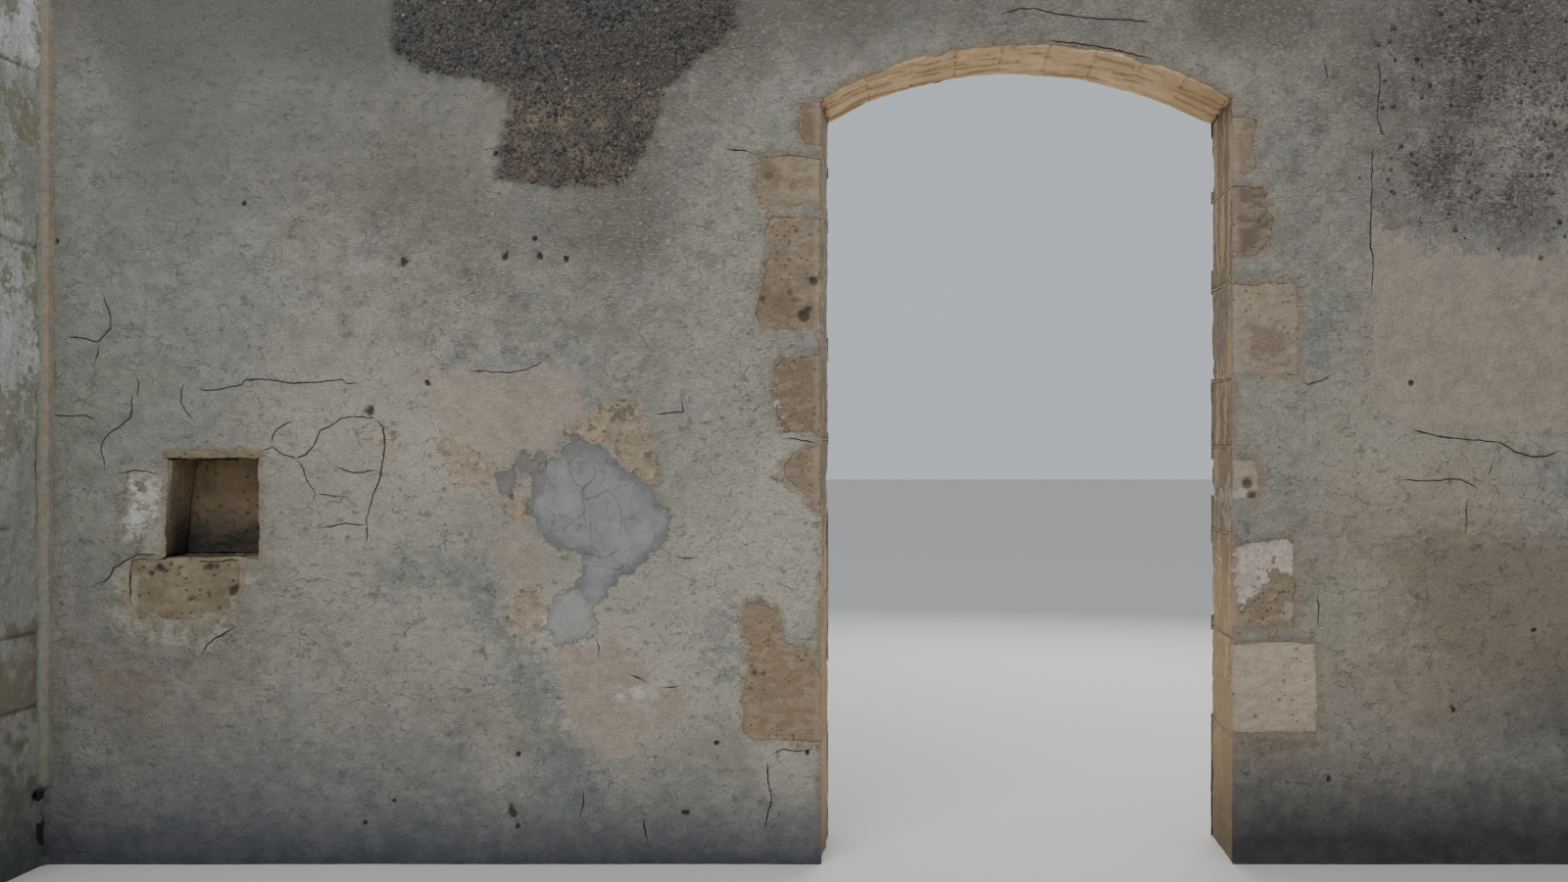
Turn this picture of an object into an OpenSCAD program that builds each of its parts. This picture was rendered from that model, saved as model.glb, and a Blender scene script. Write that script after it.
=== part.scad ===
// Arched gateway in a tall garden wall of soft limestone and rubble under a lime render.
// Millimetres, +Z up. The photographed face looks along -Y, and the wall runs along X.
// Drawings of the wall's face are made in x and z, with x = 0 at the middle of the gateway.

/* [Wall] */
// Length of wall from the middle of the gateway to the corner on its left
wall_left_l = 4180; // [3950:10:6000]
// Length of wall from the middle of the gateway to its end on the right
wall_right_l = 2700; // [1400:10:6000]
// Thickness of the masonry between its two coats of render
masonry_t = 376; // [300:2:600]
// Height of masonry over the back of the arch
over_arch_h = 193; // [80:1:900]
// Thickness of the lime render
coat_t = 12; // [8:1:30]

/* [Gateway] */
// Clear width between the jambs
gate_w = 1750; // [1400:10:2000]
// Height of the springing above the lowest ground
springing_h = 3262; // [2600:2:3800]
// Rise of the arch from springing to crown
arch_rise = 225; // [150:5:300]
// Depth of the arch stones from soffit to back
ring_d = 280; // [200:5:330]
// Number of arch stones
voussoir_n = 9; // [5:2:13]
// Length of the bed of each skewback stone
skewback_l = 360; // [200:5:500]
// Thickness of the mortar joints between dressed stones
joint_t = 8; // [4:1:14]
// How far the joints lie behind the faces of the stones
joint_recess = 3; // [1:1:5]
// Width of the worn corners of the stones round the opening
arris_wear = 9; // [6:1:20]

/* [Jamb stones, from the ground up] */
// Height of each left jamb stone with its bed joint, all scaled together to reach the springing
left_stone_h = [508, 617, 342, 346, 446, 533, 237, 233];
// Length along the wall of each left jamb stone
left_stone_l = [300, 420, 300, 430, 290, 400, 330, 420];
// Height of each right jamb stone with its bed joint, all scaled together to reach the springing
right_stone_h = [542, 417, 446, 375, 292, 417, 408, 365];
// Length along the wall of each right jamb stone
right_stone_l = [300, 430, 310, 420, 280, 400, 290, 430];

/* [Niche] */
// Middle of the niche from the middle of the gateway, to the left
niche_x = 3465; // [3200:5:3600]
// Width of the niche
niche_w = 400; // [300:5:480]
// Height of the niche
niche_h = 420; // [300:5:500]
// Depth of the niche behind the face of the masonry
niche_d = 180; // [120:5:240]
// Height of the niche floor above the lowest ground
niche_floor_h = 1304; // [1200:2:1400]
// Thickness of the slab over the niche
lintel_t = 36; // [25:1:60]
// How far the slab bears on each side of the niche
lintel_bearing = 60; // [40:5:100]
// Width of the dressed stone on the left of the niche
niche_stone_w = 195; // [150:5:240]
// Width of the pitted block under the niche
sill_w = 480; // [380:5:520]
// Height of the pitted block
sill_h = 285; // [200:5:320]
// How far the middle of the pitted block lies left of the niche's middle
sill_offset = 120; // [60:5:140]

/* [Return wall] */
// Length of the return wall in front of the main wall
return_l = 600; // [400:10:1200]
// Thickness of the return wall with its render
return_t = 400; // [300:5:600]
// Leg of the mortar fillet in the inner corner
fillet_leg = 45; // [25:1:80]

/* [Cap] */
// Thickness of the mortar cap at its edges
cap_edge_t = 35; // [20:1:60]
// Height of the cap at its ridge
cap_ridge_h = 85; // [65:1:120]
// How far the cap reaches past the render
cap_over = 15; // [5:1:40]

/* [Repair and fallen render] */
// How far the cement repair stands in front of the render
repair_proud = 3; // [1:1:6]
// Depth lost where the finishing coat has fallen from the top of the wall
lost_d = 6; // [2:1:7]

/* [Hidden] */
$fn = 96;
STONES = 8;

// Faces of the masonry and of the render
face_y = masonry_t / 2;
coat_y = face_y + coat_t;
past = 20;

// The whole object's reach, from which its middle comes to the origin
corner_x = -wall_left_l;
left_end_x = corner_x - return_t;
right_end_x = wall_right_l;
return_end_y = -coat_y - return_l;
middle_x = (left_end_x + right_end_x) / 2;
middle_y = (return_end_y + coat_y) / 2;

// The arch, struck from one centre
half_w = gate_w / 2;
soffit_r = (half_w * half_w + arch_rise * arch_rise) / (2 * arch_rise);
back_r = soffit_r + ring_d;
centre_z = springing_h + arch_rise - soffit_r;
half_angle = asin(half_w / soffit_r);
joint_angle = joint_t / soffit_r * 180 / PI;
voussoir_angle = (2 * half_angle - (voussoir_n + 1) * joint_angle) / voussoir_n;
side_n = (voussoir_n - 1) / 2;
skewback_top_h = springing_h + ring_d * cos(half_angle);
skewback_top_w = ring_d * sin(half_angle);
over_half_w = half_w + skewback_l;
wall_h = springing_h + arch_rise + ring_d + over_arch_h;

// Bed heights of the jamb stones, the last being the springing
function total(list, n, i = 0) = i >= n ? 0 : list[i] + total(list, n, i + 1);
function beds(heights) = [for (i = [0:STONES]) springing_h * total(heights, i) / total(heights, STONES)];
left_beds = beds(left_stone_h);
right_beds = beds(right_stone_h);

// The niche's edges
niche_left_x = -niche_x - niche_w / 2;
niche_right_x = -niche_x + niche_w / 2;
niche_top_h = niche_floor_h + niche_h;
niche_stone_x = niche_left_x - niche_stone_w;
sill_left_x = -niche_x - sill_offset - sill_w / 2;
lintel_left_x = niche_left_x - lintel_bearing;
lintel_l = niche_w + 2 * lintel_bearing;

// Outlines of what the fallen render has bared on the face of each jamb stone, measured from the
// edge of the opening and from the stone's bed. An empty one is a stone that the render covers.
left_bared = [
    [],
    [[0, 12], [0, 250], [33, 333], [42, 383], [96, 417], [150, 437], [179, 533], [200, 575],
     [317, 600], [333, 500], [304, 417], [325, 367], [304, 312], [333, 250], [333, 50], [283, 20]],
    [],
    [[0, 16], [0, 325], [117, 283], [158, 229], [150, 179], [96, 125], [50, 92], [25, 42]],
    [[0, 28], [0, 354], [160, 346], [195, 312], [200, 217], [217, 175], [175, 92], [158, 29]],
    [[0, 14], [0, 490], [160, 492], [230, 478], [240, 415], [215, 333], [250, 250], [267, 167],
     [279, 83], [258, 29], [200, 12]],
    [[0, 16], [0, 208], [160, 220], [262, 216], [275, 183], [270, 133], [275, 70], [258, 14]],
    [[0, 12], [0, 215], [85, 210], [90, 165], [88, 125], [95, 85], [65, 30]]];
right_bared = [
    [],
    [[0, 16], [0, 400], [258, 402], [354, 391], [362, 216], [360, 18]],
    [[0, 49], [0, 362], [29, 399], [175, 416], [200, 430], [237, 430], [258, 416], [267, 216],
     [262, 49]],
    [[0, 148], [0, 312], [83, 312], [108, 278], [112, 187], [92, 153]],
    [],
    [[0, 14], [0, 395], [175, 395], [267, 398], [283, 270], [280, 12]],
    [[0, 94], [0, 392], [133, 394], [146, 373], [133, 332], [154, 290], [175, 261], [165, 173],
     [125, 123], [92, 94]],
    [[0, 46], [0, 287], [96, 279], [92, 154], [96, 71], [50, 37]]];
// Outline of what shows of the pitted block under the niche, from the middle of its top
sill_bared = [
    [-225, -14], [-95, -8], [60, -12], [228, -20], [232, -120], [205, -205], [110, -258],
    [-40, -270], [-190, -262], [-228, -190], [-236, -90]];

// Outline of the cement repair, from the middle of the gateway at the ground
repair_outline = [
    [-1970, 1800], [-1865, 1758], [-1700, 1654], [-1617, 1571], [-1512, 1446], [-1533, 1300],
    [-1658, 1175], [-1742, 1133], [-1908, 925], [-2000, 1150], [-2120, 1330], [-2325, 1500],
    [-2310, 1600], [-2120, 1700]];
// Outline of the place where the finishing coat has fallen, with z from the top of the masonry
lost_outline = [
    [-2700, -495], [-2575, -600], [-2285, -640], [-2200, -700], [-2265, -1055], [-1865, -1095],
    [-1720, -1075], [-1615, -950], [-1535, -680], [-1365, -515], [-1200, -370], [-1240, -140],
    [-2690, -140]];

STONE = "#b59a6a";
PALE_STONE = "#c4b08c";
RUBBLE = "#9c8a6a";
MORTAR = "#a89f8a";
RENDER = "#9b9685";
CEMENT = "#8f9089";
LIMEWASH = "#b9b5a6";
RED_MORTAR = "#8a5a44";

// Puts the middle of the object's foot at the origin
module in_frame() {
    translate([-middle_x, -middle_y, 0]) children();
}

// Turns a drawing in x and z into a solid between the depths y0 and y1
module through(y0, y1) {
    translate([0, y1, 0]) rotate([90, 0, 0]) linear_extrude(y1 - y0) children();
}

module rect(x0, x1, z0, z1) {
    translate([x0, z0]) square([x1 - x0, z1 - z0]);
}

// The seats of one jamb's stones, as the masonry is cut for them. side is -1 on the left.
module jamb_seats(side, bed_list, lengths) {
    for (i = [0:STONES - 1])
        translate([side < 0 ? -half_w - lengths[i] : half_w - past, bed_list[i]])
            square([lengths[i] + past, bed_list[i + 1] - bed_list[i]]);
}

module left_masonry(x0, z0, z1) {
    difference() {
        rect(x0, -half_w, z0, z1);
        jamb_seats(-1, left_beds, left_stone_l);
    }
}

// Masonry left of the gateway, in the lifts that the niche divides
module wall_left_lower() {
    color(RUBBLE) in_frame() difference() {
        through(-face_y, face_y) left_masonry(left_end_x + coat_t, 0, niche_floor_h);
        sill_pocket();
    }
}

module sill_pocket() {
    through(-face_y - past, -face_y + niche_d)
        rect(sill_left_x, sill_left_x + sill_w, niche_floor_h - sill_h, niche_floor_h + past);
}

module wall_left_corner_side() {
    color(RUBBLE) in_frame() through(-face_y, face_y)
        rect(left_end_x + coat_t, niche_stone_x, niche_floor_h, niche_top_h);
}

module wall_left_middle() {
    color(RUBBLE) in_frame() through(-face_y, face_y)
        left_masonry(niche_right_x, niche_floor_h, niche_top_h);
}

module wall_left_upper() {
    color(RUBBLE) in_frame() difference() {
        through(-face_y, face_y) difference() {
            left_masonry(left_end_x + coat_t, niche_top_h, wall_h);
            rect(-over_half_w, -half_w + past, springing_h, wall_h + past);
        }
        through(-face_y - past, -face_y + niche_d)
            rect(lintel_left_x, lintel_left_x + lintel_l, niche_top_h - past, niche_top_h + lintel_t);
    }
}

module wall_right() {
    color(RUBBLE) in_frame() through(-face_y, face_y) difference() {
        rect(half_w, right_end_x - coat_t, 0, wall_h);
        jamb_seats(1, right_beds, right_stone_l);
        rect(half_w - past, over_half_w, springing_h, wall_h + past);
    }
}

module wall_over_gate() {
    color(RUBBLE) in_frame() through(-face_y, face_y) difference() {
        rect(-over_half_w, over_half_w, skewback_top_h, wall_h);
        translate([0, centre_z]) circle(back_r);
    }
}

// Dressed stones of the jambs, long and short by turns, each on a bed of mortar. Their plan is
// drawn from the reveal, with the two corners that people and weather have worn.
module jamb_stone(length, bed, next_bed) {
    translate([half_w, 0, bed]) linear_extrude(next_bed - bed - joint_t) polygon([
        [0, -face_y + arris_wear], [arris_wear, -face_y], [length, -face_y],
        [length, face_y], [arris_wear, face_y], [0, face_y - arris_wear]]);
}

module left_jamb_stone(i) {
    color(i % 2 == 0 ? STONE : PALE_STONE) in_frame() mirror([1, 0, 0])
        jamb_stone(left_stone_l[i], left_beds[i], left_beds[i + 1]);
}

module right_jamb_stone(i) {
    color(i % 2 == 0 ? PALE_STONE : STONE) in_frame()
        jamb_stone(right_stone_l[i], right_beds[i], right_beds[i + 1]);
}

module joint_bed(length, next_bed) {
    translate([half_w, 0, next_bed - joint_t]) linear_extrude(joint_t) polygon([
        [joint_recess, -face_y + arris_wear], [arris_wear, -face_y], [length, -face_y],
        [length, face_y], [arris_wear, face_y], [joint_recess, face_y - arris_wear]]);
}

module jamb_mortar() {
    color(MORTAR) in_frame() for (i = [0:STONES - 1]) {
        mirror([1, 0, 0]) joint_bed(left_stone_l[i], left_beds[i + 1]);
        joint_bed(right_stone_l[i], right_beds[i + 1]);
    }
}

// The arch: skewbacks cut to the slope of the first joint, wedge stones and radial joints
module skewback() {
    color(PALE_STONE) through(-face_y, face_y) polygon([
        [half_w, springing_h], [over_half_w, springing_h], [over_half_w, skewback_top_h],
        [half_w + skewback_top_w, skewback_top_h]]);
}

module left_skewback() {
    in_frame() mirror([1, 0, 0]) skewback();
}

module right_skewback() {
    in_frame() skewback();
}

// Turns a drawing of the ring's section, with x as the radius, through an angle of the arch
module ring_sector(from, angle) {
    translate([0, 0, centre_z]) rotate([90, 0, 0]) rotate([0, 0, from])
        rotate_extrude(angle = angle) children();
}

function voussoir_start(i) = 90 - half_angle + joint_angle + i * (voussoir_angle + joint_angle);

module voussoirs(first, last) {
    color(STONE) in_frame() for (i = [first:last])
        ring_sector(voussoir_start(i), voussoir_angle) polygon([
            [soffit_r, -face_y + arris_wear], [soffit_r + arris_wear, -face_y], [back_r, -face_y],
            [back_r, face_y], [soffit_r + arris_wear, face_y], [soffit_r, face_y - arris_wear]]);
}

module arch_mortar() {
    color(MORTAR) in_frame() for (i = [0:voussoir_n])
        ring_sector(voussoir_start(i) - joint_angle, joint_angle) polygon([
            [soffit_r + joint_recess, -face_y + arris_wear], [soffit_r + arris_wear, -face_y],
            [back_r, -face_y], [back_r, face_y], [soffit_r + arris_wear, face_y],
            [soffit_r + joint_recess, face_y - arris_wear]]);
}

// The niche: a thin slab over it, a dressed stone on its left and a pitted block under it
module niche_back_wall() {
    color(RUBBLE) in_frame() through(-face_y + niche_d, face_y)
        rect(niche_stone_x, niche_right_x, niche_floor_h, niche_top_h);
}

module niche_left_stone() {
    color(LIMEWASH) in_frame() through(-face_y, -face_y + niche_d)
        rect(niche_stone_x, niche_left_x, niche_floor_h, niche_top_h);
}

module niche_lintel() {
    color(STONE) in_frame() through(-coat_y, -face_y + niche_d)
        rect(lintel_left_x, lintel_left_x + lintel_l, niche_top_h, niche_top_h + lintel_t);
}

module niche_sill_block() {
    color(STONE) in_frame() through(-face_y, -face_y + niche_d)
        rect(sill_left_x, sill_left_x + sill_w, niche_floor_h - sill_h, niche_floor_h);
}

// The return wall at the left, with its limewashed render and the fillet in the corner
module return_wall() {
    color(RUBBLE) in_frame() translate([left_end_x + coat_t, return_end_y + coat_t, 0])
        cube([return_t - 2 * coat_t, return_l, wall_h]);
}

module return_wall_coat() {
    color(LIMEWASH) in_frame() linear_extrude(wall_h) difference() {
        union() {
            rect(left_end_x, corner_x, return_end_y, -face_y);
            rect(left_end_x, left_end_x + coat_t, return_end_y, face_y);
        }
        rect(left_end_x + coat_t, corner_x - coat_t, return_end_y + coat_t, -face_y + past);
    }
}

module corner_fillet() {
    color(RED_MORTAR) in_frame() linear_extrude(wall_h) translate([corner_x, -coat_y - fillet_leg])
        difference() {
            square(fillet_leg);
            translate([fillet_leg, 0]) circle(fillet_leg);
        }
}

// The render, broken away from the jamb stones that it has bared. Where an outline reaches the
// opening, it is carried past the edge so that the render is cut right through.
module bared_stones(side, bed_list, bared) {
    for (i = [0:STONES - 1]) if (len(bared[i]) > 0)
        polygon([for (p = bared[i])
            [side * (half_w + (p[0] == 0 ? -past : p[0])), bed_list[i] + p[1]]]);
}

module coat_front_left() {
    color(RENDER) in_frame() difference() {
        through(-coat_y, -face_y) difference() {
            rect(corner_x, -half_w, 0, wall_h);
            rect(-over_half_w, -half_w + past, springing_h, wall_h + past);
            bared_stones(-1, left_beds, left_bared);
            rect(niche_left_x, niche_right_x, niche_floor_h, niche_top_h);
            rect(lintel_left_x, lintel_left_x + lintel_l, niche_top_h, niche_top_h + lintel_t);
            translate([-niche_x - sill_offset, niche_floor_h]) polygon(sill_bared);
            polygon(repair_outline);
        }
        through(-coat_y - past, -coat_y + lost_d) translate([0, wall_h]) polygon(lost_outline);
    }
}

module coat_front_over_gate() {
    color(RENDER) in_frame() through(-coat_y, -face_y) difference() {
        rect(-over_half_w, over_half_w, springing_h, wall_h);
        translate([0, centre_z]) circle(soffit_r);
    }
}

module coat_front_right() {
    color(RENDER) in_frame() through(-coat_y, -face_y) difference() {
        rect(half_w, right_end_x, 0, wall_h);
        rect(half_w - past, over_half_w, springing_h, wall_h + past);
        bared_stones(1, right_beds, right_bared);
    }
}

module coat_back() {
    color(RENDER) in_frame() {
        through(face_y, coat_y) difference() {
            rect(left_end_x, right_end_x, 0, wall_h);
            rect(-half_w, half_w, -past, springing_h);
            intersection() {
                rect(-half_w, half_w, springing_h - past, wall_h);
                translate([0, centre_z]) circle(soffit_r);
            }
            bared_stones(-1, left_beds, left_bared);
            bared_stones(1, right_beds, right_bared);
        }
        through(-face_y, face_y) rect(right_end_x - coat_t, right_end_x, 0, wall_h);
    }
}

module cement_repair() {
    color(CEMENT) in_frame() through(-coat_y - repair_proud, -face_y) polygon(repair_outline);
}

// The mortar cap that sheds water to both sides of the wall
module cap_profile(width) {
    polygon([[-width / 2, 0], [width / 2, 0], [width / 2, cap_edge_t], [0, cap_ridge_h],
             [-width / 2, cap_edge_t]]);
}

module main_cap() {
    translate([left_end_x - cap_over, 0, wall_h]) rotate([90, 0, 90])
        linear_extrude(right_end_x - left_end_x + 2 * cap_over) cap_profile(2 * (coat_y + cap_over));
}

module wall_cap() {
    color(MORTAR) in_frame() main_cap();
}

module return_wall_cap() {
    color(MORTAR) in_frame() difference() {
        translate([(left_end_x + corner_x) / 2, 0, wall_h]) rotate([90, 0, 0])
            linear_extrude(-return_end_y + cap_over) cap_profile(return_t + 2 * cap_over);
        main_cap();
    }
}

wall_left_lower();
wall_left_corner_side();
wall_left_middle();
wall_left_upper();
wall_right();
wall_over_gate();
for (i = [1:STONES]) {
    left_jamb_stone(i - 1);
    right_jamb_stone(i - 1);
}
jamb_mortar();
left_skewback();
right_skewback();
voussoirs(side_n + 1, voussoir_n - 1);  // arch_voussoirs_left
voussoirs(side_n, side_n);  // arch_keystone
voussoirs(0, side_n - 1);  // arch_voussoirs_right
arch_mortar();
niche_back_wall();
niche_left_stone();
niche_lintel();
niche_sill_block();
return_wall();
return_wall_coat();
corner_fillet();
coat_front_left();
coat_front_over_gate();
coat_front_right();
coat_back();
cement_repair();
wall_cap();
return_wall_cap();
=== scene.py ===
import math

import bmesh
import bpy
import numpy as np
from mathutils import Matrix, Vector, kdtree, noise
from mathutils.geometry import delaunay_2d_cdt


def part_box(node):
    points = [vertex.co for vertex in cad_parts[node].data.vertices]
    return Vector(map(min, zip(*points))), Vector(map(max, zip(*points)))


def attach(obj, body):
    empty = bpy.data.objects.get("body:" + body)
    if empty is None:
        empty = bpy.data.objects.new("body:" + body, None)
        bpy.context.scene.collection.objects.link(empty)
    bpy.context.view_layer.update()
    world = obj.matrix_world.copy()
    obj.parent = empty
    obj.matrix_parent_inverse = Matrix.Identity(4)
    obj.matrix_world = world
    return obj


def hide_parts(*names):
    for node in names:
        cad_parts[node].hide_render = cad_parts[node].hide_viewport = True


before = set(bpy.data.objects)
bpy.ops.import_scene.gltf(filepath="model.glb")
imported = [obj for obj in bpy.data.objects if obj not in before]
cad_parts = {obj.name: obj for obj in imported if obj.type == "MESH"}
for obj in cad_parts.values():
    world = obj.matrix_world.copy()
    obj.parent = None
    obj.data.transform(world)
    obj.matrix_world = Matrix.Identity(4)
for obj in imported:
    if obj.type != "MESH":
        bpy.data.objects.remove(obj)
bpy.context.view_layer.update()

# The gateway's place in the frame, and the eye in front of it. The eye stands a little left of the
# gateway's middle and looks square at the wall, and the picture takes in more of the wall on the left.
left_arris_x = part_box("left_jamb_stone_1")[1].x
right_arris_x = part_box("right_jamb_stone_1")[0].x
gate_x = (left_arris_x + right_arris_x) / 2
half_gate = (right_arris_x - left_arris_x) / 2
coat_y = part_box("coat_front_right")[0].y
stone_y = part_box("coat_front_right")[1].y
stone_back_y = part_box("coat_back")[1].y - (stone_y - coat_y)
coat_back_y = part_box("coat_back")[1].y
wall_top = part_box("coat_front_left")[1].z
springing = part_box("left_skewback")[0].z
photo_width = 1600
pixels_per_metre = 240
view_width = photo_width / pixels_per_metre
view_middle_x = -1.033
view_middle_z = 1.80
eye_left = 0.45
eye_height = 1.779
eye_away = 5.233
sensor = 36

camera_data = bpy.data.cameras.new("camera")
camera_data.sensor_width = sensor
camera_data.lens = eye_away / view_width * sensor
camera_data.shift_x = (view_middle_x + eye_left) / view_width
camera_data.shift_y = (view_middle_z - eye_height) / view_width
camera = bpy.data.objects.new("camera", camera_data)
camera.location = (gate_x - eye_left, coat_y - eye_away, eye_height)
camera.rotation_euler = (math.pi / 2, 0, 0)
bpy.context.scene.collection.objects.link(camera)
bpy.context.scene.camera = camera


# A plain pale studio: soft light all round, a wide softbox high in front and a wider one behind, which
# lights the reveals and the underside of the arch.
def softbox(name, place, aim, width, height, watts):
    light = bpy.data.lights.new(name, "AREA")
    light.shape = "RECTANGLE"
    light.size = width
    light.size_y = height
    light.energy = watts
    box = bpy.data.objects.new(name, light)
    box.location = place
    box.rotation_euler = (Vector(aim) - Vector(place)).to_track_quat("-Z", "Y").to_euler()
    box.visible_camera = False
    bpy.context.scene.collection.objects.link(box)


softbox("front_softbox", (gate_x - 3.2, coat_y - 5.5, 7.5), (gate_x - 0.6, coat_y, 1.9), 5, 3, 330)
softbox("garden_softbox", (gate_x + 1.0, coat_back_y + 5.5, 4.5), (gate_x, coat_back_y, 1.9), 6, 4, 330)

studio = bpy.data.worlds.new("studio")
studio.use_nodes = True
studio.node_tree.nodes["Background"].inputs["Color"].default_value = (0.86, 0.92, 1.0, 1)
studio.node_tree.nodes["Background"].inputs["Strength"].default_value = 0.62
bpy.context.scene.world = studio


def node(tree, kind, inputs={}, **settings):
    """Adds a node. inputs gives a value or another node's socket for the names or numbers of its inputs."""
    made = tree.nodes.new(kind)
    for name, value in settings.items():
        setattr(made, name, value)
    for name, value in inputs.items():
        if isinstance(value, Value):
            feed(value, made.inputs[name])
        elif isinstance(value, tuple) and len(made.inputs[name].default_value) == 4:
            made.inputs[name].default_value = (*value, 1)
        else:
            made.inputs[name].default_value = value
    return made


def tone(red, green, blue):
    """The paint value of a colour that shows as these 0 to 255 tones in the studio's light."""
    return tuple(0.0391 * (math.exp(0.01647 * value) - 1) for value in (red, green, blue))


class Value:
    """What a node gives. Sums of such values are written with plain signs."""

    def __init__(self, socket):
        self.socket = socket

    def __add__(self, other):
        return calc("ADD", self, other)

    def __radd__(self, other):
        return calc("ADD", other, self)

    def __sub__(self, other):
        return calc("SUBTRACT", self, other)

    def __rsub__(self, other):
        return calc("SUBTRACT", other, self)

    def __mul__(self, other):
        return calc("MULTIPLY", self, other)

    def __truediv__(self, other):
        return calc("DIVIDE", self, other)

    def __rtruediv__(self, other):
        return calc("DIVIDE", other, self)


def result(tree, kind, inputs={}, **settings):
    """What a new node gives first."""
    made = node(tree, kind, inputs, **settings)
    return Value(made.outputs[0])


def values(sockets):
    """What some sockets give, by their names."""
    return {socket.name: Value(socket) for socket in sockets}


def tree_of(*terms):
    """The tree that the values among these terms belong to."""
    return next(term.socket.id_data for term in terms if isinstance(term, Value))


def feed(value, taker):
    """Leads a value to an input."""
    tree_of(value).links.new(value.socket, taker)


def calc(operation, first, second=0.0):
    """One sum of values and numbers."""
    return result(tree_of(first, second), "ShaderNodeMath", {0: first, 1: second}, operation=operation)


def blend(share, under, over):
    """Mixes two colours by a mask."""
    return Value(node(tree_of(share), "ShaderNodeMix", {0: share, 6: under, 7: over},
                      data_type="RGBA").outputs[2])


def tint(colour, *layers):
    """Lays layers over a colour, one after the other: each a mask, then a colour or red, green and blue."""
    for share, *over in layers:
        colour = blend(share, colour, tone(*over) if len(over) == 3 else over[0])
    return colour


def vector(operation, first, second=(0, 0, 0)):
    """One sum of vectors, or of vectors and triples of numbers."""
    tree = tree_of(first, second)
    return result(tree, "ShaderNodeVectorMath", {0: first, 1: second}, operation=operation)


def ramp(value, low, high, to_low=0.0, to_high=1.0):
    """Stretches the range low to high of a value, smoothly, to to_low to to_high."""
    return result(tree_of(value), "ShaderNodeMapRange",
                  {"Value": value, "From Min": low, "From Max": high, "To Min": to_low, "To Max": to_high},
                  interpolation_type="SMOOTHSTEP")


def read(tree, name):
    """A mask or distance that a mesh carries at its points."""
    return values(node(tree, "ShaderNodeAttribute", attribute_name=name).outputs)["Fac"]


def object_place(tree):
    """Where each point lies in the object, in metres."""
    return values(node(tree, "ShaderNodeTexCoord").outputs)["Object"]


def material(name):
    """An empty material with a rough, matt shader. Returns it, its tree and its shader."""
    made = bpy.data.materials.new(name)
    made.use_nodes = True
    shader = made.node_tree.nodes["Principled BSDF"]
    shader.inputs["Roughness"].default_value = 0.92
    shader.inputs["Specular IOR Level"].default_value = 0.25
    return made, made.node_tree, shader


def finish_with(shader, colour, height):
    """Puts a colour on the shader, and a height in metres as bump."""
    feed(colour, shader.inputs["Base Color"])
    bump = result(tree_of(colour), "ShaderNodeBump", {"Strength": 1.0, "Distance": 1.0, "Height": height})
    feed(bump, shader.inputs["Normal"])


def shader_group(name, inputs, outputs):
    """A node group with number inputs, each with its usual value, and number outputs."""
    tree = bpy.data.node_groups.new(name, "ShaderNodeTree")
    for label, usual in inputs.items():
        socket = tree.interface.new_socket(label, in_out="INPUT", socket_type="NodeSocketFloat")
        socket.default_value = usual
    for label in outputs:
        tree.interface.new_socket(label, in_out="OUTPUT", socket_type="NodeSocketFloat")
    return tree, values(tree.nodes.new("NodeGroupInput").outputs), tree.nodes.new("NodeGroupOutput").inputs


floor_size = 60
floor_mesh = bpy.data.meshes.new("studio_floor")
floor_corners = [(x * floor_size, y * floor_size, 0) for x, y in ((-1, -1), (1, -1), (1, 1), (-1, 1))]
floor_mesh.from_pydata(floor_corners, [], [(0, 1, 2, 3)])
floor = bpy.data.objects.new("studio_floor", floor_mesh)
bpy.context.scene.collection.objects.link(floor)
floor_paint, tree, shader = material("studio_floor")
shader.inputs["Base Color"].default_value = (*tone(176, 174, 170), 1)
floor_mesh.materials.append(floor_paint)

# The core of the wall is rubble of soft limestone laid in lime mortar, in lifts, behind the render.
# It is left rough, and it shows only in the ends and in the top of the wall when its coats are off.

# All stones and coats weather in clouds, blotches and mottles of tone, flecks and specks of grit, level
# trowel strokes, streaks of rain, fine scratches and thin veins that wander: each mask's name, size in
# metres, detail, and the range of its noise that is stretched.
WEATHERING = (
    ("Cloud", 0.75, 3, 0.36, 0.64), ("Blotch", 0.19, 4, 0.34, 0.66), ("Mottle", 0.075, 5, 0.3, 0.7),
    ("Fleck", 0.030, 4, 0.3, 0.7), ("Speck", 0.010, 2, 0.28, 0.72),
    ("Stroke", (0.060, 0.060, 0.030), 6, 0.32, 0.68), ("Wash", (0.09, 0.09, 0.5), 3, 0.36, 0.64),
    ("Scratch", (0.024, 0.024, 0.008), 3, 0.52, 0.68))
weathering, given, out = shader_group("weathering", {"Shift": 0.0},
                                      [row[0] for row in WEATHERING] + ["Vein"])
place = vector("ADD", object_place(weathering), given["Shift"])


def grain(where, size, detail, low, high, roughness=0.6):
    """Noise with features of a size in metres, its middle tones stretched to 0 to 1."""
    stretch = size if isinstance(size, tuple) else (size, size, size)
    scaled = vector("MULTIPLY", where, tuple(1 / s for s in stretch))
    made = result(tree_of(where), "ShaderNodeTexNoise", {"Vector": scaled, "Scale": 1.0, "Detail": detail,
                                                         "Roughness": roughness})
    return ramp(made, low, high)


for label, *looks in WEATHERING:
    feed(grain(place, *looks), out[label])
veins = grain(place, (0.15, 0.15, 0.11), 4, 0.0, 1.0, 0.5)
feed(ramp(calc("ABSOLUTE", veins - 0.5), 0.016, 0.002), out["Vein"])


def weather(tree, shift):
    """The masks of the weathering, from a part of it of their own."""
    group = node(tree, "ShaderNodeGroup", {"Shift": shift}, node_tree=weathering)
    return values(group.outputs)


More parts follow.
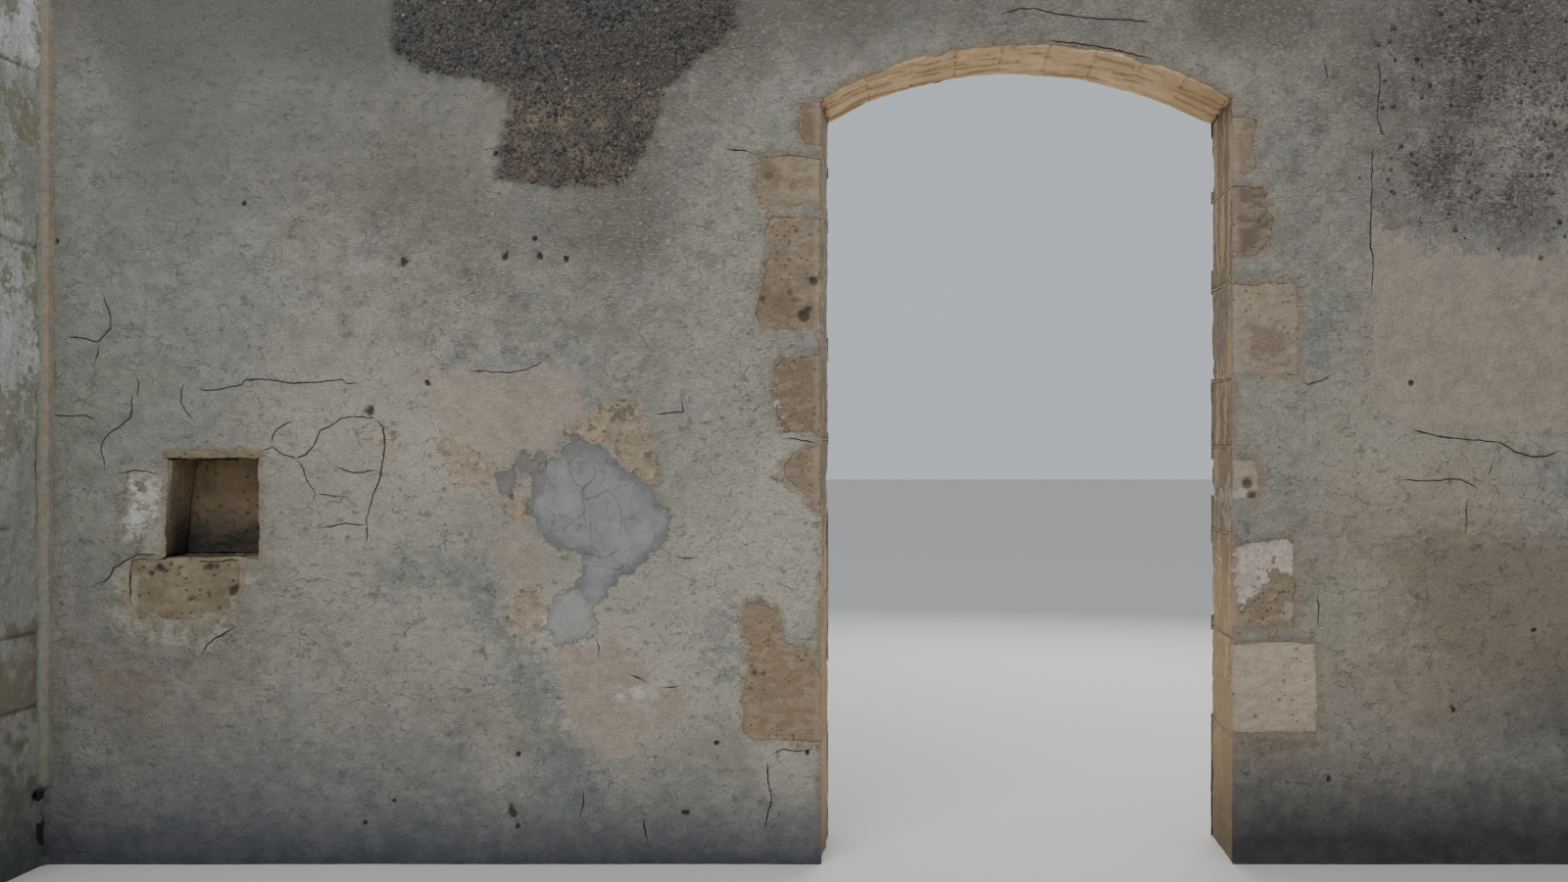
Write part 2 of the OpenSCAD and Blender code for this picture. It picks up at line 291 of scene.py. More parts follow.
rubble, tree, shader = material("rubble_masonry")
worn = weather(tree, 3.1)
squashed = vector("MULTIPLY", object_place(tree), (5.0, 5.0, 7.5))
edges = result(tree, "ShaderNodeTexVoronoi", {"Vector": squashed, "Scale": 1.0}, feature="DISTANCE_TO_EDGE")
kinds = values(node(tree, "ShaderNodeTexVoronoi", {"Vector": squashed, "Scale": 1.0}).outputs)["Color"]
joint = ramp(edges, 0.03, 0.1)
stones = tint(blend(kinds, tone(118, 104, 82), tone(142, 128, 104)), (worn["Fleck"], 96, 84, 68))
colour = tint(blend(joint, tone(132, 126, 112), stones), (worn["Speck"] * 0.35, 78, 72, 62))
finish_with(shader, colour, joint * 0.006 + worn["Fleck"] * 0.003)
MASONRY = ("wall_left_lower", "wall_left_corner_side", "wall_left_middle", "wall_left_upper", "wall_right",
           "wall_over_gate", "return_wall")


def dress(names, paint):
    """Gives carried-over CAD nodes a material."""
    for name in names:
        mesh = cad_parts[name].data
        mesh.materials.clear()
        mesh.materials.append(paint)


dress(MASONRY, rubble)

# The jambs are dressed blocks of soft ochre limestone, eight to a side, long and short by turns, bedded
# in lime mortar. Their arrises are worn round, the open corners most, and weather has pitted the faces
# that the fallen render has bared. Each bared face stands almost flush with the render round it.
FRONT_NODES = ("coat_front_left", "coat_front_over_gate", "coat_front_right")
stone_step = 0.009
far_face_step = 0.03
reveal_step = 0.011
front_wear = 0.011
back_wear = 0.020
bared_stand = 0.006


def on_wall(outlines):
    """Outlines in x and z that are given from the gateway's middle at the ground, in the frame."""
    return [[(gate_x + x, z) for x, z in outline] for outline in outlines]


def fractal(points, size, octaves, shift=0.0):
    """Perlin noise of about -1 to 1 at each point, with features of a size in metres."""
    scaled = np.asarray(points, float) / size + (shift, shift * 0.7, shift * 1.3)
    return np.array([noise.fractal(spot, 0.8, 2.1, octaves) for spot in scaled.tolist()])


def smooth(value, low, high):
    share = np.clip((value - low) / (high - low), 0, 1)
    return share * share * (3 - 2 * share)


def face_loops(name, toward, at_y=None):
    """Outlines, in x and z, of what a CAD node shows along -Y (toward -1) or along +Y (toward 1), or of
    only those of its faces that lie at one depth."""
    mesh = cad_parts[name].data
    spots = [(round(v.co.x, 4), round(v.co.z, 4)) for v in mesh.vertices]
    follows = {}
    for face in mesh.polygons:
        if face.normal.y * toward < 0.99 or (at_y and abs(face.center.y - at_y) > 0.001):
            continue
        corners = [spots[i] for i in face.vertices]
        for start, end in zip(corners, corners[1:] + corners[:1]):
            if start in follows.get(end, ()):
                follows[end].remove(start)
            else:
                follows.setdefault(start, []).append(end)
    loops = []
    while any(follows.values()):
        start = next(spot for spot, ends in follows.items() if ends)
        loop = [start]
        while follows[loop[-1]]:
            loop.append(follows[loop[-1]].pop())
            if loop[-1] == start:
                loop.pop()
                break
        loops.append(loop)
    return loops


def reach(points, outlines):
    """How far inside the outlines each point in x and z lies, in metres, and less than 0 outside."""
    points = np.asarray(points, float)
    nearest = np.full(len(points), 1e9)
    odd = np.zeros(len(points), bool)
    for outline in outlines:
        for (ax, az), (bx, bz) in zip(outline, outline[1:] + outline[:1]):
            px, pz = points[:, 0] - ax, points[:, 1] - az
            dx, dz = bx - ax, bz - az
            along = np.clip((px * dx + pz * dz) / max(dx * dx + dz * dz, 1e-12), 0, 1)
            nearest = np.minimum(nearest, (px - along * dx) ** 2 + (pz - along * dz) ** 2)
            if az != bz:
                crosses = (points[:, 1] < az) != (points[:, 1] < bz)
                odd ^= crosses & (px < pz * dx / dz)
    return np.where(odd, 1, -1) * np.sqrt(nearest)


def piece(name, points, faces, paint, replaced=(), marks={}):
    """A closed mesh piece that rides on the wall. marks are named values at its points."""
    mesh = bpy.data.meshes.new(name)
    mesh.from_pydata([tuple(p) for p in np.asarray(points, float).tolist()], [], faces)
    shape = bmesh.new()
    shape.from_mesh(mesh)
    bmesh.ops.recalc_face_normals(shape, faces=shape.faces)
    shape.to_mesh(mesh)
    shape.free()
    for label, amounts in marks.items():
        mark = mesh.attributes.new(label, "FLOAT", "POINT")
        mark.data.foreach_set("value", np.asarray(amounts, np.float32))
    mesh.shade_smooth()
    mesh.set_sharp_from_angle(angle=math.radians(55))
    mesh.materials.append(paint)
    made = bpy.data.objects.new(name, mesh)
    bpy.context.scene.collection.objects.link(made)
    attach(made, "root")
    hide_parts(*replaced)
    return made


def grid_faces(columns, rows, start=0):
    """Quads between the points of a grid, whose points go column by column from the lowest row."""
    return [(start + c * rows + r, start + (c + 1) * rows + r, start + (c + 1) * rows + r + 1,
             start + c * rows + r + 1) for c in range(columns - 1) for r in range(rows - 1)]


def steps(start, end, step):
    return np.linspace(start, end, max(2, round(abs(end - start) / step) + 1))


# Hollows that weather and knocks have left on the photographed faces: x from the gateway's middle, z,
# radius and depth.
HOLLOWS = [(-0.983, 2.696, 0.013, 0.008), (-0.908, 2.483, 0.022, 0.016), (-1.125, 2.404, 0.014, 0.009),
           (-0.95, 2.333, 0.030, 0.016), (-1.01, 2.43, 0.020, 0.006), (-0.99, 2.40, 0.016, 0.006),
           (-0.93, 2.36, 0.016, 0.010), (-1.16, 0.812, 0.018, 0.008), (-1.12, 0.81, 0.014, 0.007),
           (-1.18, 0.745, 0.010, 0.006), (-1.115, 0.13, 0.030, 0.020), (-1.165, 0.128, 0.022, 0.016),
           (0.975, 0.625, 0.014, 0.007), (0.94, 1.62, 0.030, 0.010), (0.96, 1.57, 0.026, 0.009),
           (0.92, 1.53, 0.024, 0.008), (-1.10, 2.93, 0.032, 0.005), (-1.0, 2.88, 0.030, 0.004)]


def hollow_depth(points):
    """How deep the hollows go at points in x and z."""
    deepest = np.zeros(len(points))
    for x, z, radius, depth in HOLLOWS:
        share = np.hypot(points[:, 0] - gate_x - x, points[:, 1] - z) / radius
        deepest = np.maximum(deepest, depth * np.clip(1 - share ** 2, 0, 1))
    return deepest


# What colours each bared stone, from the ground up: its warmth from 0, a pinkish grey, to 1, ochre, its
# lightness round 0, and how much lime still clings to it.
LEFT_STONES = [(0.2, 0.55, 0.3), (1.1, 0.1, 0.0), (0.4, 0.0, 0.2), (0.75, 0.0, 0.1),
               (0.9, -0.35, 0.0), (0.5, -0.15, 0.05), (0.45, 0.1, 0.15), (0.8, -0.45, 0.1)]
RIGHT_STONES = [(0.5, -0.1, 0.1), (0.0, 0.56, 0.15), (0.7, 0.0, 0.2), (0.6, 0.4, 0.3),
                (0.6, 0.1, 0.2), (0.0, 0.3, 0.0), (0.8, -0.5, 0.0), (0.3, 0.0, 0.1)]
# Outlines of what clings to the bared faces or stains them
STONE_PATCHES = {
    "lime_left_on": [[(0.89, 1.375), (1.05, 1.385), (1.14, 1.38), (1.14, 1.26), (1.09, 1.215), (1.05, 1.28),
                      (1.01, 1.175), (0.92, 1.085), (0.88, 1.18)],
                     [(0.865, 1.58), (0.95, 1.60), (0.955, 1.56), (0.90, 1.53), (0.865, 1.53)],
                     [(-1.095, 1.945), (-1.055, 1.95), (-1.055, 1.84), (-1.095, 1.85)],
                     [(-0.945, 2.275), (-0.875, 2.29), (-0.875, 2.17), (-0.94, 2.18)]],
    "brown": [[(0.945, 2.28), (1.05, 2.30), (1.10, 2.235), (1.10, 2.155), (1.03, 2.125), (0.945, 2.215)],
              [(-1.135, 2.985), (-1.055, 2.985), (-1.055, 2.905), (-1.135, 2.905)],
              [(-1.14, 2.52), (-0.98, 2.42), (-0.9, 2.36), (-1.0, 2.30), (-1.14, 2.36)]]}

limestone, tree, shader = material("ochre_limestone")
worn = weather(tree, 7.7)
patch_edge, given, out = shader_group("ragged_patch", {"Inside": 0.0, "Ragged": 0.02, "Soft": 0.01},
                                      ["Mask"])
wobble = grain(object_place(patch_edge), 0.045, 6, 0.25, 0.75, 0.68) - 0.5
moved = given["Inside"] + wobble * 2.0 * given["Ragged"]
mask = result(patch_edge, "ShaderNodeMath", {0: moved / given["Soft"], 1: 0.5}, operation="ADD",
              use_clamp=True)
feed(mask, out["Mask"])

pitting, given, out = shader_group("pitting", {"Size": 0.02, "Share": 0.5}, ["Mask"])
where = object_place(pitting)
scaled = result(pitting, "ShaderNodeVectorMath", {0: where, 3: 1.0 / given["Size"]}, operation="SCALE")
pits = values(node(pitting, "ShaderNodeTexVoronoi", {"Vector": scaled, "Scale": 1.0}).outputs)
drawn = result(pitting, "ShaderNodeSeparateColor", {"Color": pits["Color"]})
wide = ramp(given["Share"] - drawn, 0.0, 0.6, 0.0, 0.5)
feed(ramp(wide - pits["Distance"], 0.0, 0.16), out["Mask"])


def patch(tree, name, ragged, soft):
    """The mask of a patch whose distance inside its outline the mesh carries."""
    return result(tree, "ShaderNodeGroup", {"Inside": read(tree, name), "Ragged": ragged, "Soft": soft},
                  node_tree=patch_edge)


def pitted(tree, size, share):
    return result(tree, "ShaderNodeGroup", {"Size": size, "Share": share}, node_tree=pitting)


def separate(place):
    """The X, Y and Z of a place, as values."""
    return values(node(tree_of(place), "ShaderNodeSeparateXYZ", {0: place}).outputs)


other = weather(tree, 31.0)
warm = result(tree, "ShaderNodeClamp", {"Value": read(tree, "warm") + (worn["Blotch"] - 0.5) * 0.7})
reveal = read(tree, "reveal")
upward = separate(object_place(tree))["Z"]
flaked = patch(tree, "lime_left_on", 0.035, 0.008)
clinging = ramp(read(tree, "limed") - 0.62 + worn["Blotch"] * 0.45, 0.0, 0.05)
limed = calc("MAXIMUM", flaked, clinging * 0.6)
skinned = 1.0 - patch(tree, "skin", 0.022, 0.014)
small_pits = pitted(tree, 0.018, 0.55) * ramp(other["Blotch"], 0.35, 0.75)
stone = tint(
    blend(warm, tone(137, 126, 115), tone(132, 115, 92)),
    (worn["Cloud"] * 0.35, 142, 127, 104),
    (worn["Mottle"] * 0.55, 108, 95, 77),
    (other["Mottle"] * 0.45, 148, 136, 117),
    (worn["Fleck"] * 0.3, 106, 92, 73),
    (other["Speck"] * 0.35, 96, 84, 68),
    (ramp(read(tree, "light"), 0.0, 1.0), 178, 168, 150),
    (ramp(read(tree, "light"), 0.0, -1.0), 74, 62, 50),
    (ramp(read(tree, "warm"), 1.0, 1.5), 150, 116, 78),
    (worn["Stroke"] * 0.35, 108, 94, 78),
    (ramp(other["Stroke"], 0.5, 1.0, 0.0, 0.25), 160, 148, 130),
    (patch(tree, "brown", 0.05, 0.06) * 0.5, 96, 78, 62),
    (limed, blend(worn["Fleck"], tone(168, 160, 150), tone(146, 138, 128))),
    # Painted shade, growing higher up the reveals.
    (reveal * ramp(upward, 1.0, 1.9, 0.1, 0.5), 90, 76, 56),
    (reveal * worn["Wash"] * 0.25, 98, 80, 50),
    # Painted light: the reveals lighter and warmer low down.
    (reveal * ramp(upward, 1.5, 1.1, 0.0, 0.45), 158, 134, 98),
    (reveal * ramp(other["Wash"], 0.7, 0.9) * 0.35, 170, 150, 116),
    # Lighter in a band along the front arris.
    (read(tree, "arris_band") * 0.4, 150, 134, 122),
    (skinned * 0.85, blend(worn["Mottle"], tone(134, 128, 116), tone(118, 111, 98))),
    # Painted shade in the pits and the hollows.
    (small_pits * 0.45, 66, 54, 42),
    (read(tree, "hollow") * 0.8, 60, 48, 38),
    (read(tree, "foot") * 0.85, blend(reveal, tone(62, 60, 60), tone(90, 76, 58))))
relief = (worn["Fleck"] * 0.003 + worn["Speck"] * 0.0018 + other["Mottle"] * 0.0025 - small_pits * 0.004
          + flaked * 0.003)
finish_with(shader, stone, relief)

front_outlines = [loop for name in FRONT_NODES for loop in face_loops(name, -1)]

# How far up the darker band at the wall's foot reaches: a place along the wall, the height under which it
# is darkest, and the height at which it fades out
FOOT_BAND = [(-3.4, 0.08, 1.0), (-2.9, 0.03, 0.86), (-1.5, 0.0, 0.62), (0.0, 0.0, 0.42), (1.9, 0.10, 0.84),
        (3.6, 0.11, 0.90)]


def foot_band(points):
    """How dark the band at the wall's foot is, from 0 to 1, at some points."""
    places, darkest_below, faded = np.array(FOOT_BAND).T
    faded = np.interp(points[:, 0], places, faded) * (1 + 0.22 * fractal(points, 0.5, 3, 5.0))
    darkest_below = np.interp(points[:, 0], places, darkest_below)
    return np.clip((faded - points[:, 2]) / (faded - darkest_below), 0, 1) ** 1.5


def jamb_stone(name, side, number, finish):
    """One worn block: its front, reveal and back in one strip of points, closed by its beds and far end."""
    low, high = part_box(name)
    arris = low.x if side > 0 else high.x
    length = high.x - low.x
    deep = high.y - low.y
    plan = [(x, 0.0) for x in steps(length, 0, stone_step)]
    plan += [(0.0, y) for y in steps(0, deep, reveal_step)[1:]]
    plan += [(x, deep) for x in steps(0, length, far_face_step)[1:]]
    levels = steps(0, high.z - low.z, stone_step)
    flat = np.array([(x, y, z) for x, y in plan for z in levels])
    spread = fractal(flat + (number * 3.0, side * 9.0, low.z), (0.06, 0.06, 0.12), 2)
    wear = np.where(flat[:, 1] < deep / 2, front_wear, back_wear) * (1 + 0.45 * spread)
    inner = np.clip(flat, np.stack([wear, wear, wear * 0.6], 1),
                    np.stack([wear * 0 + 9, deep - wear, levels[-1] - wear * 0.6], 1))
    outward = flat - inner
    outward /= np.linalg.norm(outward, axis=1)[:, None]
    shape = inner + outward * wear[:, None]
    points = np.stack([arris + side * shape[:, 0], low.y + shape[:, 1], low.z + shape[:, 2]], 1)
    looks = np.stack([side * outward[:, 0], outward[:, 1], outward[:, 2]], 1)
    on_face = points[:, [0, 2]]
    on_front = np.clip(-outward[:, 1], 0, 1)
    on_reveal = np.clip(-outward[:, 0], 0, 1)
    skin = -reach(on_face, front_outlines)
    bare = smooth(skin, -0.014, 0.002) * on_front
    hollow = hollow_depth(on_face) * on_front
    rough = 0.0022 * fractal(points, 0.10, 4, number) + 0.0012 * fractal(points, 0.028, 2, 4)
    ledges = 0.0025 * fractal(points, (0.5, 0.17, 0.25), 2, 8.0) * on_reveal
    torn = 0.010 * smooth(fractal(points, 0.16, 3, 15.0), 0.1, 0.9) * smooth(shape[:, 1], deep * 0.75, deep)
    lift = rough * (1 + on_reveal) - 0.002 + ledges - torn + bare * bared_stand - hollow
    points += looks * lift[:, None]
    points[:, 2] = np.maximum(points[:, 2], 0)
    columns, rows = len(plan), len(levels)
    faces = grid_faces(columns, rows)
    faces.append([c * rows for c in range(columns)])
    faces.append([c * rows + rows - 1 for c in range(columns)])
    faces.append(list(range(rows)) + list(range(columns * rows - 1, (columns - 1) * rows - 1, -1)))
    warm, light, limed = finish
    marks = {"skin": np.where(on_front > 0.5, skin, 1.0), "warm": warm + 0 * hollow,
             "light": light * (1 - 0.6 * on_reveal), "limed": limed + 0 * hollow,
             "reveal": on_reveal, "hollow": smooth(hollow, 0.001, 0.008), "foot": foot_band(points),
             "arris_band": smooth(-shape[:, 0], -0.045, -0.012) * on_front}
    for label, outlines in STONE_PATCHES.items():
        marks[label] = reach(on_face, on_wall(outlines))
    piece(name + "_worn", points, faces, limestone, [name], marks)


for number, (left_finish, right_finish) in enumerate(zip(LEFT_STONES, RIGHT_STONES), 1):
    jamb_stone(f"left_jamb_stone_{number}", -1, number, left_finish)
    jamb_stone(f"right_jamb_stone_{number}", 1, number + 20, right_finish)

# The beds between the jamb stones are lime mortar, struck a little behind the worn arrises.
bed_mortar, tree, shader = material("bedding_mortar")
worn = weather(tree, 1.3)
colour = tint(blend(worn["Blotch"], tone(118, 108, 92), tone(142, 132, 114)),
              (worn["Speck"] * 0.5, 84, 74, 60))
finish_with(shader, colour, worn["Speck"] * 0.001)
dress(["jamb_mortar"], bed_mortar)

# The arch is a ring of nine wedge stones between skewbacks cut to the slope of the first joint. The
# stones are the same limestone, dressed in place, and their soffit has weathered into long ledges that
# run along the arch. The wedges repeat round the ring, so Geometry Nodes make them.
ring_depth = 0.280
arch_rise = 0.225
wedge_count = 9
side_wedges = (wedge_count - 1) // 2
joint_width = 0.008
soffit_radius = (half_gate ** 2 + arch_rise ** 2) / (2 * arch_rise)
centre_z = springing + arch_rise - soffit_radius
half_angle = math.asin(half_gate / soffit_radius)
joint_angle = joint_width / soffit_radius
wedge_angle = (2 * half_angle - (wedge_count + 1) * joint_angle) / wedge_count
first_angle = math.pi / 2 - half_angle + joint_angle

ARCH_SIZES = {"Stones": side_wedges, "First": 0, "First Angle": first_angle, "Wedge Angle": wedge_angle,
              "Joint Angle": joint_angle, "Soffit Radius": soffit_radius, "Ring Depth": ring_depth,
              "Wall Thickness": stone_back_y - stone_y, "Wear": 0.003, "Ledges": 0.011, "Roughness": 0.009,
              "Gate X": gate_x, "Wall Y": (stone_y + stone_back_y) / 2, "Centre Z": centre_z}


def geometry_group(name, source, sizes):
    """A geometry tree with a source, sizes with their usual values, and a stone to paint with."""
    tree = bpy.data.node_groups.new(name, "GeometryNodeTree")
    tree.interface.new_socket(source, in_out="INPUT", socket_type="NodeSocketGeometry")
    for label, usual in sizes.items():
        kind = "NodeSocketInt" if type(usual) is int else "NodeSocketFloat"
        tree.interface.new_socket(label, in_out="INPUT", socket_type=kind).default_value = usual
    tree.interface.new_socket("Stone", in_out="INPUT", socket_type="NodeSocketMaterial")
    tree.interface.new_socket("Geometry", in_out="OUTPUT", socket_type="NodeSocketGeometry")
    return tree, values(tree.nodes.new("NodeGroupInput").outputs), tree.nodes.new("NodeGroupOutput").inputs


wedges, given, out = geometry_group("wedge_stones", "Geometry", ARCH_SIZES)


def join_vector(x, y, z):
    return result(tree_of(x, y, z), "ShaderNodeCombineXYZ", {"X": x, "Y": y, "Z": z})


def noise_value(place, detail):
    """Noise of about -0.5 to 0.5 with features as large as one unit of the place."""
    noises = {"Vector": place, "Scale": 1.0, "Detail": detail}
    return result(tree_of(place), "ShaderNodeTexNoise", noises) - 0.5


def marked(geometry, name, value, domain="POINT"):
    """Stores a value on a geometry under a name."""
    return result(tree_of(geometry), "GeometryNodeStoreNamedAttribute",
                  {"Geometry": geometry, "Name": name, "Value": value}, data_type="FLOAT", domain=domain)


def mark_of(tree, name):
    """A value that the geometry carries under a name."""
    return result(tree, "GeometryNodeInputNamedAttribute", {"Name": name}, data_type="FLOAT")


def on_geometry(kind, geometry, inputs={}):
    """What a node makes of a geometry."""
    return result(tree_of(geometry), kind, {"Geometry": geometry, **inputs})


def pushed(geometry, height):
    """A geometry with its points moved out along their normals by a height."""
    facing = result(tree_of(height), "GeometryNodeInputNormal")
    offset = result(tree_of(height), "ShaderNodeVectorMath", {0: facing, 3: height}, operation="SCALE")
    return on_geometry("GeometryNodeSetPosition", geometry, {"Offset": offset})


def painted(geometry, given, out):
    """Gives a geometry the tree's stone and leads it to the tree's end."""
    geometry = on_geometry("GeometryNodeSetMaterial", geometry, {"Material": given["Stone"]})
    feed(geometry, out["Geometry"])


block = result(wedges, "GeometryNodeMeshCube", {"Size": (1, 1, 1), "Vertices X": 25, "Vertices Y": 44,
                                                "Vertices Z": 9})
row = result(wedges, "GeometryNodeMeshLine", {"Count": given["Stones"], "Offset": (0, 0, 0)})
row = marked(row, "stone", result(wedges, "GeometryNodeInputIndex"))
ring = result(wedges, "GeometryNodeInstanceOnPoints", {"Points": row, "Instance": block})
ring = on_geometry("GeometryNodeRealizeInstances", ring)
number = mark_of(wedges, "stone") + given["First"]
stone_length = given["Wedge Angle"] * given["Soffit Radius"]
size = join_vector(stone_length, given["Wall Thickness"], given["Ring Depth"])
sharp = vector("MULTIPLY", result(wedges, "GeometryNodeInputPosition"), size)
wear = given["Wear"] * (1.0 + noise_value(join_vector(number, 4.3, 0.0), 1.0))
core = vector("SUBTRACT", vector("MULTIPLY", size, (0.5, 0.5, 0.5)), join_vector(wear, wear, wear))
opposite = vector("MULTIPLY", core, (-1, -1, -1))
inner = vector("MAXIMUM", vector("MINIMUM", sharp, core), opposite)
away = vector("NORMALIZE", vector("SUBTRACT", sharp, inner))
rounded = vector("MULTIPLY", away, join_vector(wear, wear, wear))
parts = separate(vector("ADD", inner, rounded))
pitch = given["Wedge Angle"] + given["Joint Angle"]
angle = (given["First Angle"] + pitch * number + given["Wedge Angle"] * 0.5
         + parts["X"] / given["Soffit Radius"])
radius = given["Soffit Radius"] + (given["Ring Depth"] * 0.5 + parts["Z"])
across = given["Gate X"] + radius * calc("COSINE", angle)
upward = given["Centre Z"] + radius * calc("SINE", angle)
bent = join_vector(across, given["Wall Y"] + parts["Y"], upward)
ring = on_geometry("GeometryNodeSetPosition", ring, {"Position": bent})
bent_parts = separate(result(wedges, "GeometryNodeInputPosition"))
aside = bent_parts["X"] - given["Gate X"]
above = bent_parts["Z"] - given["Centre Z"]
along = calc("ARCTAN2", above, aside) * 2.0
from_centre = values(node(wedges, "ShaderNodeVectorMath", {0: join_vector(aside, above, 0.0)},
                          operation="LENGTH").outputs)["Value"]
on_soffit = ramp(from_centre - given["Soffit Radius"], 0.03, 0.003)
ledge = noise_value(join_vector(along, bent_parts["Y"] * 8.0, 0.0), 2.5)
shelves = ramp(ledge, 0.02, 0.05) + ramp(ledge, -0.07, -0.04)
ring = marked(ring, "shelf", shelves)
here = result(wedges, "GeometryNodeInputPosition")
rough = noise_value(vector("MULTIPLY", here, (16, 16, 16)), 4.0)
broad = vector("MULTIPLY", here, (2.2, 1.0, 2.2))
step_down = noise_value(vector("ADD", broad, (3.7, 0.0, 1.9)), 1.0)
lift = ((shelves - 1.6) * given["Ledges"] + step_down * 0.05) * on_soffit + rough * given["Roughness"]
painted(pushed(ring, lift), given, out)

soffit_stone, tree, shader = material("weathered_soffit_stone")
worn = weather(tree, 12.4)
where = object_place(tree)
lines = grain(where, (0.7, 0.045, 0.7), 5, 0.34, 0.66)
shelf = result(tree, "ShaderNodeMath", {0: read(tree, "shelf"), 1: 0.5}, operation="PINGPONG")
crevice = ramp(shelf, 0.15, 0.45) * ramp(worn["Blotch"], 0.1, 0.6)
across = separate(where)["X"]
# The soffit is painted far paler than the jambs' limestone: partly painted light on the underside.
colour = tint(
    blend(worn["Blotch"], tone(194, 173, 144), tone(174, 154, 122)),
    (lines * 0.5, 206, 188, 158),
    (worn["Mottle"] * 0.4, 156, 134, 104),
    (worn["Fleck"] * 0.3, 130, 110, 84),
    # Painted shade in the crevices between the ledges, and painted shade, darker and yellower, towards the
    # right.
    (crevice * 0.5, 112, 90, 62),
    (ramp(across, gate_x + 0.3, gate_x + 0.8, 0.0, 0.3), 144, 120, 82))
finish_with(shader, colour, worn["Fleck"] * 0.0025 + lines * 0.004)


def made_by_nodes(name, tree, inputs, replaced=(), source=None):
    """A piece that a geometry tree makes with these inputs, from a source mesh or from nothing, and that
    rides on the wall."""
    made = bpy.data.objects.new(name, source or bpy.data.meshes.new(name))
    bpy.context.scene.collection.objects.link(made)
    maker = made.modifiers.new("maker", "NODES")
    maker.node_group = tree
    sockets = {item.name: item.identifier for item in tree.interface.items_tree if item.in_out == "INPUT"}
    for label, value in inputs.items():
        maker[sockets[label]] = value
    mesh = bpy.data.meshes.new_from_object(made.evaluated_get(bpy.context.evaluated_depsgraph_get()))
    made.modifiers.clear()
    made.data = mesh
    mesh.shade_smooth()
    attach(made, "root")
    if replaced:
        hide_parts(*replaced)


for name, first, stones in (("arch_voussoirs_right", 0, side_wedges), ("arch_keystone", side_wedges, 1),
                            ("arch_voussoirs_left", side_wedges + 1, side_wedges)):
    sizes = {**ARCH_SIZES, "First": first, "Stones": stones}
    made_by_nodes(name + "_worn", wedges, {**sizes, "Stone": soffit_stone}, [name])
dress(["left_skewback", "right_skewback"], soffit_stone)

joint_mortar, tree, shader = material("arch_joint_mortar")
worn = weather(tree, 15.0)
# Pale like the soffit stone, so partly painted light as well.
colour = blend(worn["Mottle"], tone(188, 168, 138), tone(160, 140, 110))
finish_with(shader, colour, worn["Speck"] * 0.001)
dress(["arch_mortar"], joint_mortar)

# The render is a thin coat of lime and sand, thrown on and closed with a trowel by hand, then patched and
# limewashed for years. It rolls a little, is marked by level trowel strokes, has broken away round the
# dressed stones, and hair cracks run through it where the wall has moved.
front_step = {"coat_front_left": 0.0135, "coat_front_over_gate": 0.010, "coat_front_right": 0.0115}
edge_step = 0.010
coat_depth = stone_y - coat_y
lost_depth = 0.006
ragged_play = 0.010
arris_play = 0.0025
crumble_depth = 0.008
fringe_width = 0.075
crack_depth = 0.007
bore_depth = 0.010

